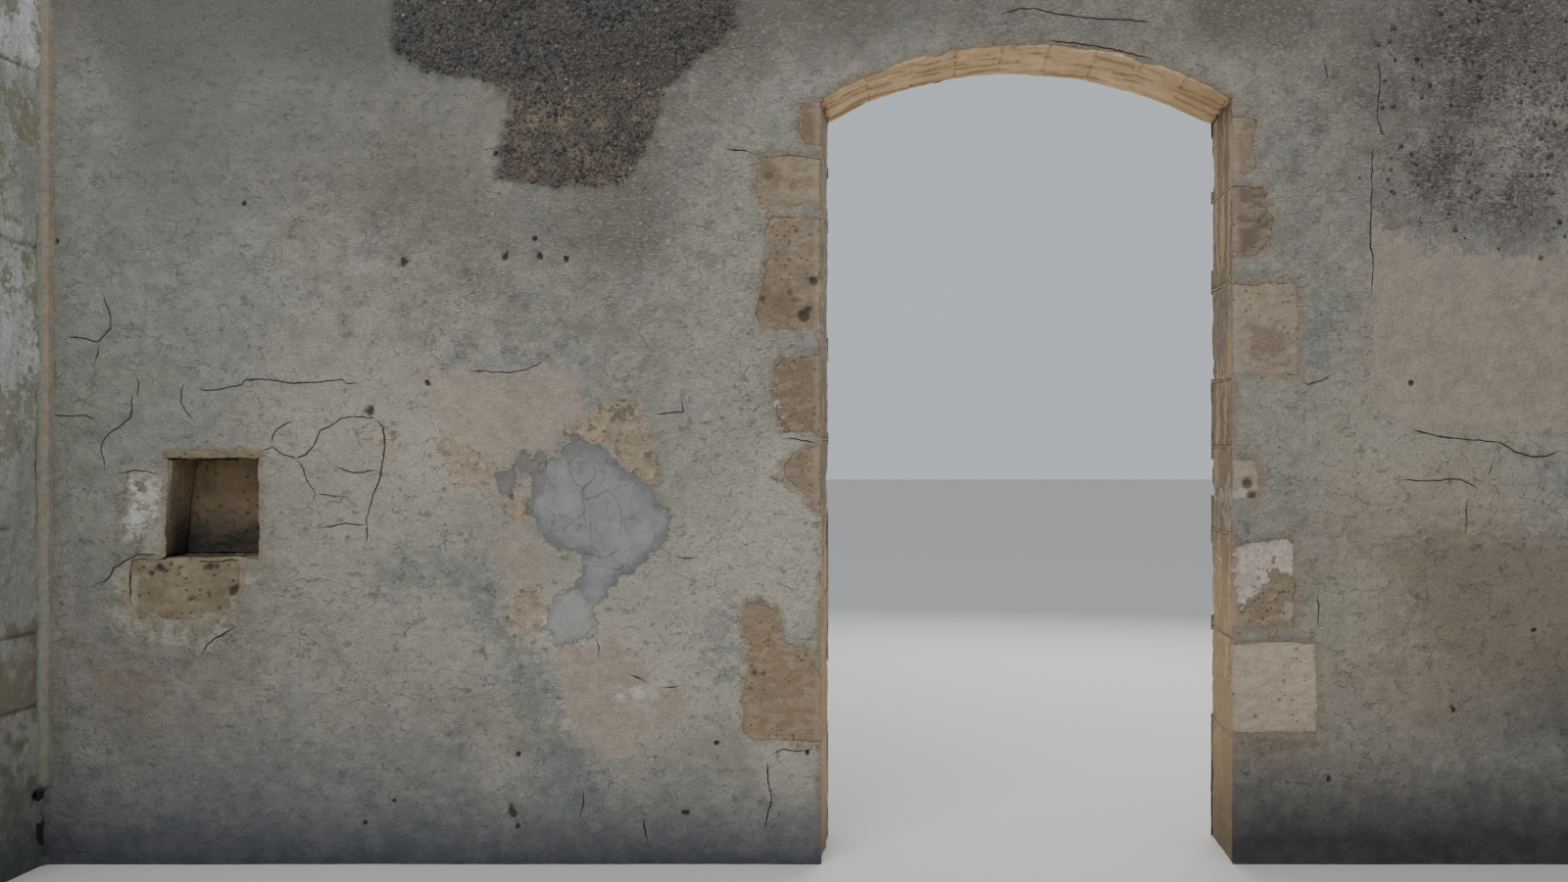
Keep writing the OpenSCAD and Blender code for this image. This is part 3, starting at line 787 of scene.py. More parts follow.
# Hair cracks on the photographed face, each a route in x and z from the gateway's middle at the ground
CRACKS = [
    [(-3.535, 2.03), (-3.5, 2.015), (-3.43, 2.02), (-3.34, 2.04), (-3.315, 2.06), (-3.22, 2.06),
     (-3.12, 2.045), (-3.02, 2.05), (-2.91, 2.06), (-2.9, 2.045), (-2.835, 2.045)],
    [(-3.585, 2.045), (-3.6, 2.01), (-3.6, 1.96), (-3.575, 1.92), (-3.545, 1.885)],
    [(-3.8, 2.085), (-3.775, 2.05), (-3.785, 2), (-3.775, 1.975)],
    [(-3.8, 2.01), (-3.81, 1.96), (-3.81, 1.905), (-3.86, 1.86), (-3.895, 1.84), (-3.925, 1.81),
     (-3.94, 1.76), (-3.925, 1.715), (-3.92, 1.675)],
    [(-4.16, 1.91), (-4.075, 1.905), (-4.01, 1.91), (-3.97, 1.895), (-3.95, 1.875)],
    [(-3.255, 1.755), (-3.21, 1.775), (-3.16, 1.74), (-3.105, 1.725), (-3.065, 1.745),
     (-3.025, 1.79), (-3.005, 1.85), (-2.97, 1.86), (-2.91, 1.9), (-2.845, 1.905), (-2.785, 1.895)],
    [(-3.21, 1.775), (-3.21, 1.815), (-3.19, 1.85), (-3.145, 1.875), (-3.115, 1.885)],
    [(-3.105, 1.725), (-3.075, 1.675), (-3.065, 1.635), (-3.025, 1.575), (-3.04, 1.54)],
    [(-3.025, 1.575), (-2.97, 1.57), (-2.91, 1.56)],
    [(-3, 1.43), (-2.94, 1.44), (-2.89, 1.45), (-2.805, 1.44)],
    [(-2.775, 1.895), (-2.74, 1.86), (-2.73, 1.78), (-2.74, 1.715), (-2.755, 1.635), (-2.79, 1.54),
     (-2.81, 1.465), (-2.805, 1.405), (-2.81, 1.35)],
    [(-2.94, 1.69), (-2.865, 1.665), (-2.755, 1.675)],
    [(-3.865, 1.66), (-3.805, 1.675), (-3.74, 1.67), (-3.69, 1.655)],
    [(-3.95, 1.195), (-3.91, 1.21), (-3.88, 1.26), (-3.835, 1.29), (-3.785, 1.315), (-3.69, 1.315)],
    [(-3.365, 1.01), (-3.41, 0.985), (-3.455, 0.96), (-3.49, 0.93), (-3.51, 0.895)],
    [(-4.09, 2.245), (-4.01, 2.235), (-3.95, 2.22), (-3.895, 2.28), (-3.9, 2.34), (-3.935, 2.44)],
    [(-3.95, 2.22), (-3.95, 2.175), (-3.97, 2.125)],
    [(-2.375, 2.1), (-2.295, 2.095), (-2.22, 2.09), (-2.14, 2.1), (-2.06, 2.135)],
    [(-1.585, 1.915), (-1.51, 1.92), (-1.46, 1.925), (-1.47, 1.98)],
    [(-1.5, 1.315), (-1.46, 1.3), (-1.4, 1.305)],
    [(-1.835, 0.965), (-1.82, 0.92), (-1.825, 0.88)],
    [(-1.7, 0.815), (-1.65, 0.79), (-1.61, 0.77)],
    [(-1.555, 0.75), (-1.49, 0.755), (-1.465, 0.76)],
    [(-1.89, 0.32), (-1.885, 0.26), (-1.9, 0.21)],
    [(-1.63, 0.2), (-1.625, 0.14), (-1.615, 0.085)],
    [(-1.095, 0.46), (-1.035, 0.49), (-0.97, 0.48), (-0.9, 0.49)],
    [(-1.1, 0.44), (-1.105, 0.385), (-1.085, 0.28), (-1.105, 0.195), (-1.115, 0.15)],
    [(-1.285, 3.04), (-1.2, 3.035), (-1.16, 3.02)],
    [(-1.04, 1.81), (-0.99, 1.81), (-0.93, 1.8), (-0.895, 1.79)],
    [(-0.11, 3.615), (-0.025, 3.64), (0.05, 3.635), (0.135, 3.615), (0.24, 3.6), (0.31, 3.595),
     (0.425, 3.59), (0.53, 3.58)],
    [(-0.95, 3.305), (-0.935, 3.27), (-0.895, 3.272)],
    # Painted shadow under the coat's broken edge over the arch, laid as a crack.
    [(0.09, 3.502), (0.2, 3.492), (0.3, 3.478), (0.42, 3.454), (0.52, 3.427)],
    [(1.49, 3.425), (1.505, 3.34), (1.495, 3.26), (1.49, 3.175), (1.51, 3.11), (1.535, 3.085)],
    [(1.47, 3.05), (1.465, 2.84), (1.46, 2.635), (1.475, 2.55), (1.465, 2.425)],
    [(1.285, 3.325), (1.27, 3.385), (1.26, 3.425)],
    [(1.59, 1.635), (1.675, 1.63), (1.78, 1.635), (1.84, 1.64), (1.885, 1.615), (1.925, 1.59)],
    [(1.985, 1.725), (1.97, 1.675), (1.965, 1.625)],
    [(1.87, 1.56), (1.87, 1.465), (1.865, 1.405)],
    # Painted shadow under a flaky ledge below the right pink patch, laid as a crack.
    [(1.635, 1.85), (1.76, 1.815), (1.885, 1.805), (2.01, 1.795), (2.07, 1.76), (2.14, 1.735),
     (2.21, 1.735), (2.265, 1.76)],
    [(1.175, 2.06), (1.195, 2.04), (1.26, 2.06), (1.31, 2.09)],
    [(1.24, 1.01), (1.24, 1.07), (1.235, 1.155)]]
# Anchor holes and knocks in the render: x from the gateway's middle, z and radius
BORES = [(-2.65, 2.56, 0.021), (-2.22, 2.585, 0.019), (-2.095, 2.66, 0.013), (-2.07, 2.585, 0.017),
         (-1.96, 2.575, 0.017), (-3.33, 2.81, 0.012), (-4.125, 2.65, 0.012), (-2.795, 1.925, 0.024),
         (-2.55, 2.045, 0.015), (-2.165, 0.465, 0.013), (-2.19, 0.22, 0.024), (-2.165, 0.16, 0.013),
         (-1.46, 0.22, 0.013), (-1.445, 0.22, 0.012), (-2.815, 0.175, 0.013), (-2.69, 0.27, 0.010),
         (1.285, 0.36, 0.013), (2.155, 0.995, 0.012), (1.815, 0.655, 0.013), (1.635, 2.045, 0.014),
         (-1.32, 0.515, 0.011), (-0.935, 0.475, 0.012), (-2.26, 3.02, 0.013)]
# Patches of other tone in the render, as outlines in x and z from the gateway's middle at the ground
RENDER_PATCHES = {
    "pink": [
        [(-2.57, 2.08), (-2.41, 2.1), (-2.2, 2.09), (-1.97, 2.12), (-1.91, 2.08), (-1.9, 1.97),
         (-1.87, 1.9), (-1.95, 1.84), (-2.08, 1.74), (-2.17, 1.75), (-2.2, 1.68), (-2.27, 1.68),
         (-2.33, 1.75), (-2.41, 1.81), (-2.48, 1.82), (-2.53, 1.9)],
        [(1.48, 2.72), (1.60, 2.68), (1.70, 2.61), (2.72, 2.58), (2.72, 1.95), (2.13, 1.84), (1.88, 1.82),
         (1.68, 1.84), (1.49, 1.95), (1.46, 2.42)],
        [(-2.24, 1.4), (-2.1, 1.39), (-2.03, 1.34), (-2.07, 1.22), (-2.16, 1.18), (-2.26, 1.2),
         (-2.28, 1.34)],
        [(-2.03, 0.9), (-1.95, 0.93), (-1.82, 0.95), (-1.7, 0.95), (-1.6, 0.8), (-1.62, 0.59),
         (-1.7, 0.47), (-1.8, 0.45), (-1.87, 0.57), (-1.95, 0.61), (-1.97, 0.76)],
        [(-1.58, 0.74), (-1.47, 0.74), (-1.47, 0.61), (-1.55, 0.57), (-1.61, 0.63)]],
    "bare_sand": [
        [(-1.87, 1.9), (-1.8, 1.96), (-1.7, 1.98), (-1.64, 1.95), (-1.61, 1.86), (-1.57, 1.78),
         (-1.57, 1.6), (-1.64, 1.62), (-1.7, 1.66), (-1.8, 1.76), (-1.93, 1.81), (-1.95, 1.84)],
        [(-2.49, 1.79), (-2.41, 1.8), (-2.35, 1.76), (-2.28, 1.68), (-2.26, 1.59), (-2.37, 1.59),
         (-2.48, 1.7)],
        [(-2.25, 1.55), (-2.18, 1.57), (-2.17, 1.63), (-2.12, 1.64), (-2.1, 1.51), (-2.12, 1.45),
         (-2.22, 1.51)],
        [(-2.2, 1.13), (-2.14, 1.18), (-2.07, 1.15), (-2.05, 1.01), (-2.14, 0.95), (-2.2, 1.01)],
        [(-2.73, 1.84), (-2.69, 1.84), (-2.68, 1.78), (-2.72, 1.73), (-2.74, 1.76)]],
    "pale": [
        [(-3.27, 2.01), (-2.7, 2.03), (-2.58, 2.01), (-2.51, 1.84), (-2.49, 1.68), (-2.62, 1.34),
         (-2.78, 1.34), (-2.95, 1.09), (-3.12, 1.18), (-3.27, 1.3)],
        [(-1.57, 1.93), (-1.28, 1.9), (-1.2, 1.72), (-1.22, 1.18), (-1.28, 1.01), (-1.45, 0.8),
         (-1.62, 0.84), (-1.7, 1.01), (-1.66, 1.18), (-1.53, 1.34), (-1.49, 1.59)],
        [(0.89, 2.05), (1.09, 2.01), (1.12, 1.84), (1.05, 1.78), (0.89, 1.78)],
        [(1.22, 1.22), (1.47, 1.34), (1.55, 1.18), (1.47, 0.84), (1.26, 0.97)],
        [(-2.34, 0.52), (-2.2, 0.52), (-2.16, 0.4), (-2.14, 0.26), (-2.33, 0.26)]],
    "limed": [
        [(-3.86, 1.62), (-3.83, 1.67), (-3.74, 1.68), (-3.68, 1.66), (-3.68, 1.32), (-3.83, 1.34),
         (-3.87, 1.43), (-3.88, 1.53)],
        [(-3.9, 1.01), (-3.91, 1.13), (-3.88, 1.24), (-3.83, 1.3), (-3.68, 1.31), (-3.27, 1.31),
         (-3.25, 1.28), (-3.27, 1.22), (-3.33, 1.13), (-3.34, 1.01), (-3.37, 0.95), (-3.51, 0.9),
         (-3.7, 0.95), (-3.78, 0.97)],
        [(1.05, 1.4), (1.11, 1.43), (1.13, 1.34), (1.07, 1.34)],
        [(1.64, 1.85), (1.88, 1.825), (2.05, 1.80), (2.19, 1.76), (2.32, 1.78), (2.31, 1.72), (2.18, 1.70),
         (2.03, 1.755), (1.86, 1.79)]],
    "white_smear": [
        [(-3.81, 1.64), (-3.71, 1.65), (-3.69, 1.54), (-3.74, 1.46), (-3.80, 1.37), (-3.84, 1.42),
         (-3.82, 1.52)],
        [(-3.75, 1.27), (-3.71, 1.26), (-3.74, 1.18), (-3.80, 1.13), (-3.83, 1.18)],
        [(-2.06, 1.05), (-2.02, 1.05), (-2.0, 0.95), (-2.02, 0.93), (-2.07, 0.98)],
        [(-1.74, 0.74), (-1.60, 0.745), (-1.58, 0.715), (-1.73, 0.70)]],
    "cement": [
        [(-1.93, 1.82), (-1.86, 1.79), (-1.80, 1.78), (-1.755, 1.745), (-1.72, 1.675), (-1.645, 1.65),
         (-1.605, 1.59), (-1.57, 1.545), (-1.515, 1.505), (-1.51, 1.455), (-1.535, 1.39), (-1.565, 1.335),
         (-1.635, 1.29), (-1.66, 1.235), (-1.71, 1.225), (-1.77, 1.175), (-1.80, 1.13), (-1.84, 1.10),
         (-1.84, 1.06), (-1.825, 0.985), (-1.91, 0.95), (-1.94, 0.93), (-2.01, 0.94), (-2.045, 1.01),
         (-2.03, 1.08), (-1.99, 1.16), (-1.91, 1.175), (-1.895, 1.22), (-1.905, 1.29), (-1.885, 1.32),
         (-2.01, 1.35), (-2.075, 1.415), (-2.11, 1.495), (-2.12, 1.53), (-2.105, 1.585), (-2.095, 1.64),
         (-2.055, 1.71), (-1.995, 1.725), (-1.96, 1.77)],
        [(-2.265, 1.66), (-2.19, 1.69), (-2.17, 1.665), (-2.175, 1.61), (-2.2, 1.575), (-2.24, 1.58),
         (-2.25, 1.62)],
        [(-2.165, 1.725), (-2.14, 1.755), (-2.11, 1.75), (-2.13, 1.71), (-2.09, 1.715), (-2.065, 1.755),
         (-2.04, 1.735), (-2.055, 1.69), (-2.07, 1.655), (-2.155, 1.655)]],
    "pale_repair": [
        [(-1.84, 1.10), (-1.84, 1.06), (-1.825, 0.985), (-1.91, 0.95), (-2.01, 0.94), (-2.045, 1.01),
         (-2.03, 1.08), (-1.99, 1.16), (-1.91, 1.15)]],
    "dull_repair": [
        [(-2.28, 1.71), (-2.06, 1.77), (-2.03, 1.66), (-2.08, 1.54), (-2.27, 1.55)],
        [(-1.98, 1.73), (-1.93, 1.85), (-1.78, 1.80), (-1.70, 1.70), (-1.80, 1.72), (-1.89, 1.69)]],
    "stain": [
        [(-2.82, 1.27), (-2.66, 1.34), (-2.28, 1.33), (-2.2, 1.26), (-2.26, 1.13), (-2.2, 0.97),
         (-2.03, 0.84), (-1.98, 0.76), (-1.98, 0.57), (-2.12, 0.59), (-2.24, 0.76), (-2.26, 0.93),
         (-2.37, 1.01), (-2.41, 1.18), (-2.62, 1.16), (-2.8, 1.13)],
        [(-2.1, 0.6), (-1.98, 0.6), (-1.9, 0.5), (-1.82, 0.4), (-1.82, 0.24), (-1.98, 0.22), (-2.08, 0.4)],
        [(-2.42, 2.13), (-2.2, 2.17), (-1.9, 2.18), (-1.76, 2.14), (-1.9, 2.11), (-2.2, 2.09)],
        [(-1.92, 2.05), (-1.85, 2.05), (-1.82, 1.95), (-1.87, 1.91), (-1.91, 1.96)],
        [(1.16, 2.35), (1.3, 2.4), (1.31, 2.13), (1.28, 2.07), (1.17, 2.08)],
        [(-1.37, 1.09), (-1.25, 1.11), (-1.24, 0.8), (-1.3, 0.76), (-1.36, 0.93)],
        [(2.16, 1.74), (2.3, 1.76), (2.3, 1.55), (2.23, 1.57), (2.17, 1.68)]],
    "tan": [
        [(1.51, 1.34), (1.63, 1.4), (1.88, 1.43), (2.72, 1.34), (2.72, 0.76), (2.05, 0.8), (1.84, 0.78),
         (1.72, 0.93), (1.63, 1.09)],
        [(0.88, 0.56), (1.24, 0.55), (1.18, 0.45), (0.89, 0.43)],
        [(-3.93, 0.84), (-3.72, 0.83), (-3.7, 0.74), (-3.91, 0.73)]]}
# Broad light and dark parts: x, z, half width, half height, and lightness
SHADES = [(-3.0, 3.35, 1.4, 0.85, -0.5), (-1.5, 3.35, 0.45, 0.7, -0.5), (-3.9, 2.9, 0.5, 0.9, -0.2),
          (-3.95, 0.52, 0.35, 0.25, -0.26), (-1.9, 2.5, 0.7, 0.4, -0.28), (-1.3, 2.4, 0.35, 0.8, 0.3),
          (-2.6, 1.95, 1.0, 0.35, 0.25), (-1.45, 0.95, 0.75, 0.65, 0.6), (-2.5, 1.2, 0.7, 0.5, 0.4),
          (-3.65, 1.0, 0.6, 0.5, -0.4), (-1.0, 1.45, 0.25, 0.5, 0.75), (0.2, 3.75, 1.4, 0.4, -0.6),
          (2.1, 3.5, 0.8, 0.7, -0.5), (1.3, 3.0, 0.35, 0.9, -0.3), (1.35, 2.0, 0.45, 0.5, 0.3),
          (1.95, 1.65, 0.9, 0.5, 0.3), (1.9, 0.75, 1.1, 0.32, -0.4), (-2.0, 0.8, 0.6, 0.35, 0.22),
          (-1.0, 3.65, 0.5, 0.35, -0.5), (-3.2, 3.8, 1.3, 0.25, -0.3), (-2.45, 1.75, 0.3, 0.3, 0.4),
          (-1.7, 2.75, 0.45, 0.3, -0.35), (2.0, 2.8, 0.6, 0.25, -0.35), (-0.98, 0.42, 0.22, 0.25, 0.46),
          (1.05, 0.5, 0.2, 0.1, 0.52), (1.4, 0.8, 0.35, 0.4, 0.4), (0.35, 3.72, 0.5, 0.25, 0.2),
          (-1.7, 3.75, 0.5, 0.25, -0.3), (-4.05, 3.1, 0.25, 0.5, 0.4), (-3.35, 1.45, 0.3, 0.3, -0.3),
          (-2.9, 1.9, 0.5, 0.6, 0.2), (-1.45, 0.6, 0.6, 0.4, 0.25), (2.2, 3.05, 0.3, 0.3, 0.4),
          (1.3, 0.65, 0.3, 0.3, 0.3), (-1.2, 1.35, 0.3, 0.6, 0.3), (-2.5, 2.75, 0.4, 0.3, -0.2),
          (-3.7, 3.6, 0.9, 0.3, -0.3), (2.1, 3.65, 0.4, 0.25, -0.25), (0.95, 3.6, 0.3, 0.25, -0.25),
          (-2.85, 3.6, 0.4, 0.3, -0.3), (2.35, 0.8, 0.35, 0.4, -0.25), (-3.45, 0.42, 0.5, 0.3, -0.22),
          (-1.4, 0.5, 0.3, 0.25, -0.3), (-2.8, 0.84, 0.55, 0.4, 0.14), (1.7, 1.63, 0.55, 0.3, 0.17),
          (1.97, 1.0, 0.4, 0.3, 0.13), (1.34, 2.42, 0.22, 0.55, 0.15), (-1.34, 2.2, 0.25, 0.4, 0.09),
          (-1.01, 1.47, 0.2, 0.35, 0.12), (-3.4, 2.4, 0.7, 0.35, 0.1), (-1.82, 0.3, 0.26, 0.16, 0.25),
          (-2.66, 0.47, 0.3, 0.2, 0.15)]
# Broad parts of a warmer or, below 0, a cooler hue: x, z, half width, half height, and how much
HUES = [(-3.9, 2.4, 1.0, 1.6, -0.6), (-2.9, 3.5, 1.0, 0.6, -0.4), (-2.6, 0.3, 2.0, 0.35, -0.4),
        (1.6, 1.0, 0.8, 0.7, 0.55), (-1.0, 2.6, 0.4, 1.0, -0.2), (-2.9, 1.0, 0.5, 0.35, 0.3),
        (1.7, 1.9, 1.0, 0.7, 0.35), (1.06, 0.5, 0.22, 0.08, 0.6)]
# Where the coat is grainy, and how much: x, z, half width, half height, amount
GRAINY = [(1.2, 2.9, 0.45, 1.0, 0.9), (0.2, 3.75, 1.2, 0.45, 0.9), (-1.2, 2.9, 0.6, 1.1, 0.9),
          (-1.1, 1.4, 0.5, 0.9, 0.9), (-1.9, 2.5, 1.0, 0.6, 0.8), (-3.0, 2.6, 0.7, 0.6, 0.4),
          (-2.9, 0.9, 0.6, 0.4, 0.6), (1.5, 1.3, 0.6, 0.8, 0.4)]
# Where the coat has worn down to its grit: x, z, half width and half height
GRITTY = [(2.15, 3.45, 0.75, 0.65), (1.95, 2.95, 0.5, 0.35)]


def soft_spot(points, x, z, half_width, half_height):
    """A soft oval: 1 in its middle and 0 outside."""
    apart = np.hypot((points[:, 0] - gate_x - x) / half_width, (points[:, 1] - z) / half_height)
    return smooth(-apart, -1.25, -0.35)


def spaced(start, end, step):
    """Points from a start to just before an end, about a step apart."""
    count = max(1, round(math.dist(start, end) / step))
    return [(start[0] + (end[0] - start[0]) * k / count, start[1] + (end[1] - start[1]) * k / count)
            for k in range(count)]


def distance_to(points, spots):
    """How far each point in x and z is from the nearest of some spots."""
    if not len(spots):
        return np.full(len(points), 9.0)
    tree = kdtree.KDTree(len(spots))
    for i, (x, z) in enumerate(spots):
        tree.insert((x, z, 0), i)
    tree.balance()
    return np.array([tree.find((x, z, 0))[2] for x, z in points.tolist()])


repair_corners = {spot for loop in face_loops("cement_repair", -1) for spot in loop}
coat_ends = (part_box("coat_front_left")[0].x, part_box("coat_front_right")[1].x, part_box("coat_back")[0].x)
over_gate_ends = (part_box("coat_front_over_gate")[0].x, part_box("coat_front_over_gate")[1].x)


def is_limit(start, end):
    """Whether a stretch of outline is where one coat meets the next, the ground, the cap or a corner."""
    (ax, az), (bx, bz) = start, end
    if abs(ax - bx) < 1e-3:
        at_seam = min(abs(ax - x) for x in over_gate_ends) < 1e-3 and min(az, bz) > springing - 1e-3
        return at_seam or min(abs(ax - x) for x in coat_ends) < 1e-3
    return abs(az - bz) < 1e-3 and min(abs(az - z) for z in (0, springing, wall_top)) < 1e-3


slab_low, slab_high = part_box("niche_lintel")
niche_left_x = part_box("niche_left_stone")[1].x
niche_right_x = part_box("niche_back_wall")[1].x
slab_lap = 0.020
side_lap = 0.004


def lapped(loop):
    """The niche's outline with the render lapped over the ends and the top of the slab above it."""
    return [(min(max(x, niche_left_x + side_lap), niche_right_x - side_lap), min(z, slab_low.z + slab_lap))
            if z > slab_low.z - 1e-3 else (x, z) for x, z in loop]


def joined(upper, lower):
    """One outline round two holes, the one just under the other, without the strip between them."""
    i = min(range(len(upper)), key=lambda n: upper[n][1] + upper[(n + 1) % len(upper)][1])
    j = max(range(len(lower)), key=lambda n: lower[n][1] + lower[(n + 1) % len(lower)][1])
    return upper[i + 1:] + upper[:i + 1] + lower[j + 1:] + lower[:j + 1]


def bared(name, toward):
    """A coat's outlines, with the niche and the bare block under it as one hole."""
    loops = face_loops(name, toward)
    sill_low, sill_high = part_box("niche_sill_block")
    holes = [loop for loop in loops
             if sill_low.x - 0.2 < min(x for x, _ in loop) and max(x for x, _ in loop) < sill_high.x + 0.2
             and sill_low.z - 0.2 < min(z for _, z in loop) and max(z for _, z in loop) < slab_high.z + 0.2]
    if toward > 0 or len(holes) < 2:
        return loops
    lower, upper = sorted(holes, key=lambda loop: sum(z for _, z in loop) / len(loop))
    return [loop for loop in loops if loop not in holes] + [joined(lapped(upper), lower)]


def ragged_loop(loop):
    """An outline with points close together, torn a little in and out where the render has broken, and
    how much each point may have been moved."""
    spots, play = [], []
    for start, end in zip(loop, loop[1:] + loop[:1]):
        at_arris = all(abs(abs(x - gate_x) - half_gate) < 1e-3 for x, _ in (start, end))
        run = spaced(start, end, edge_step)
        spots += run
        play += [0.0 if is_limit(start, end) else arris_play if at_arris else ragged_play] * len(run)
    play = np.minimum(play, np.roll(play, 1))
    flat = np.array([(x, 0, z) for x, z in spots])
    moved = flat[:, [0, 2]]
    unrest = np.clip(0.7 + 0.8 * fractal(flat, 0.25, 2, 60.0), 0.2, 1.1)
    ways = [fractal(flat, 0.14, 4, shift) for shift in (40.0, 80.0)]
    moved = moved + 1.4 * np.stack(ways, 1) * (play * unrest)[:, None]
    return [tuple(spot) for spot in moved.tolist()], play


def torn_outlines(name, toward):
    """A coat's outlines as its broken edges have them, and the points where those edges crumble."""
    outlines, crumbling = [], []
    for loop in bared(name, toward):
        outline, play = ragged_loop(loop)
        outlines.append(outline)
        if not repair_corners.issuperset(loop):
            crumbling += [spot for spot, much in zip(outline, play) if much > 0]
    return outlines, crumbling


def crack_lines(route):
    """The two lips and the bottom of a hair crack that wanders along a route."""
    spots = [spot for start, end in zip(route, route[1:]) for spot in spaced(start, end, 0.013)]
    flat = np.array([(gate_x + x, 0, z) for x, z in spots + [route[-1]]])
    line = flat[:, [0, 2]] + 0.004 * np.stack([fractal(flat, 0.03, 2, 3.0), fractal(flat, 0.03, 2, 6.0)], 1)
    heading = np.gradient(line, axis=0)
    heading /= np.linalg.norm(heading, axis=1)[:, None]
    aside = np.stack([-heading[:, 1], heading[:, 0]], 1)
    ends = np.minimum(np.arange(len(line)), np.arange(len(line))[::-1])
    width = (0.0034 + 0.0018 * fractal(flat, 0.07, 2, 9.0)) * np.clip(ends / 3, 0.15, 1)
    return line + aside * width[:, None], line, line - aside * width[:, None]


def scattered(loops, step, margin, seed):
    """Points spread evenly but not in rows, further inside some outlines than a margin."""
    corners = np.array([spot for loop in loops for spot in loop])
    (low_x, low_z), (high_x, high_z) = corners.min(0), corners.max(0)
    rows = np.arange(low_z + step / 2, high_z, step * 0.87)
    x, z = np.meshgrid(np.arange(low_x + step / 2, high_x, step), rows)
    x = x + (np.arange(len(z)) % 2)[:, None] * step / 2
    draws = np.random.default_rng(seed)
    points = np.stack([x.ravel(), z.ravel()], 1) + draws.uniform(-0.22, 0.22, (x.size, 2)) * step
    return points[reach(points, loops) > margin]


def cut_sheet(name, toward, step, outlines, seed, cracks=(), ledges=(), bores=()):
    """Triangles over what a CAD node shows that follow its torn outlines, cracks, ledges and bores exactly.
    Returns their points in x and z, the triangles, and which points are at the bottom of a crack."""
    spots, edges, bottoms = [], [], set()

    def add(chain, closed=False):
        first = len(spots)
        spots.extend(tuple(spot) for spot in chain)
        count = len(chain)
        edges.extend((first + i, first + (i + 1) % count) for i in range(count if closed else count - 1))
        return first

    for outline in outlines:
        add(outline, closed=True)
    on_outlines = len(spots)
    for lip, bottom, other_lip in cracks:
        add(lip)
        add(other_lip)
        first = add(bottom)
        bottoms.update(range(first, first + len(bottom)))
    for ledge in ledges:
        add(ledge, closed=True)
    for x, z, radius in bores:
        for share, count in ((1.15, 12), (0.85, 10), (0.5, 6), (0.0, 1)):
            turn = np.arange(count) / count * 2 * math.pi + share
            ring = np.stack([np.cos(turn), np.sin(turn)], 1) * radius * share + (gate_x + x, z)
            add(ring.tolist(), closed=count > 1)
    inside = scattered(bared(name, toward), step, 0.35 * step + 0.8 * ragged_play, seed)
    inside = inside[distance_to(inside, spots[:on_outlines]) > step * 0.5]
    inside = inside[distance_to(inside, spots[on_outlines:]) > 0.008]
    first_inside = len(spots)
    spots.extend(inside.tolist())
    cut = delaunay_2d_cdt([Vector(spot) for spot in spots], edges, [], 0, 1e-6)
    points, triangles, origins = np.array(cut[0]), np.array(cut[2]), cut[3]
    at_bottom = np.array([any(origin in bottoms for origin in own) for own in origins])
    free = np.array([any(origin >= first_inside for origin in own) for own in origins])
    unsure = ~free[triangles].any(1)
    keep = np.ones(len(triangles), bool)
    keep[unsure] = reach(points[triangles[unsure]].mean(1), outlines) > 0
    return points, triangles[keep], at_bottom


def closed_sheet(face, triangles, outlines, flat_y):
    """Closes a sheet of triangles with a flat face at a depth, and with sides between the two rims."""
    sides = np.concatenate([triangles[:, [0, 1]], triangles[:, [1, 2]], triangles[:, [2, 0]]]).tolist()
    known = {tuple(side) for side in sides}
    rim = [(a, b) for a, b in known if (b, a) not in known]
    rim_points = sorted({a for a, _ in rim})
    order = {point: i for i, point in enumerate(rim_points)}
    flat = [Vector((face[i][0], face[i][2])) for i in rim_points]
    backs = delaunay_2d_cdt(flat, [(order[a], order[b]) for a, b in rim], [], 0, 1e-7)[2]
    backs = np.array(backs)
    backs = backs[reach(np.array(flat)[backs].mean(1), outlines) > 0]
    start = len(face)
    points = np.concatenate([face, [(face[i][0], flat_y, face[i][2]) for i in rim_points]])
    faces = triangles.tolist() + [[start + i for i in reversed(back)] for back in backs.tolist()]
    faces += [[b, a, start + order[a], start + order[b]] for a, b in rim]
    return points, faces, rim_points


def stood_up(points, y=0.0):
    """Points in x and z, stood up in the frame at a depth y."""
    return np.stack([points[:, 0], y + 0 * points[:, 0], points[:, 1]], 1)


def floated(points):
    """How far the hand-floated face stands out, in metres, at points in x and z."""
    flat = stood_up(points)
    out = 0.0035 * fractal(flat, 0.9, 2, 1.0) + 0.0024 * fractal(flat, 0.16, 3, 2.0)
    return out + 0.0012 * fractal(flat, (0.35, 1.0, 0.035), 2, 3.0)


def crumbled(points, spots, most):
    """How far the coat has worn back at its broken edges, unevenly and at most by a depth."""
    flat = stood_up(points)
    reach_back = 0.020 * (1 + 0.6 * fractal(flat, 0.10, 2, 21.0))
    much = most * np.clip(0.75 + 0.5 * fractal(flat, 0.05, 2, 24.0), 0.3, 1.1)
    return much * smooth(1 - distance_to(points, spots) / reach_back, 0, 1)


def bored(points, bores):
    """How far into a bore each point is: 0 at its rim and outside, and 1 in its middle."""
    deepest = np.zeros(len(points))
    flat = stood_up(points)
    ragged = 1 + 0.5 * fractal(flat, 0.016, 2, 27.0) if bores else 1
    for x, z, radius in bores:
        away = np.hypot((points[:, 0] - gate_x - x) * 1.15, points[:, 1] - z) / radius
        deepest = np.maximum(deepest, 1 - away * ragged)
    return deepest


lost_outlines = [ragged_loop(loop)[0] for loop in face_loops("coat_front_left", -1, coat_y + lost_depth)]


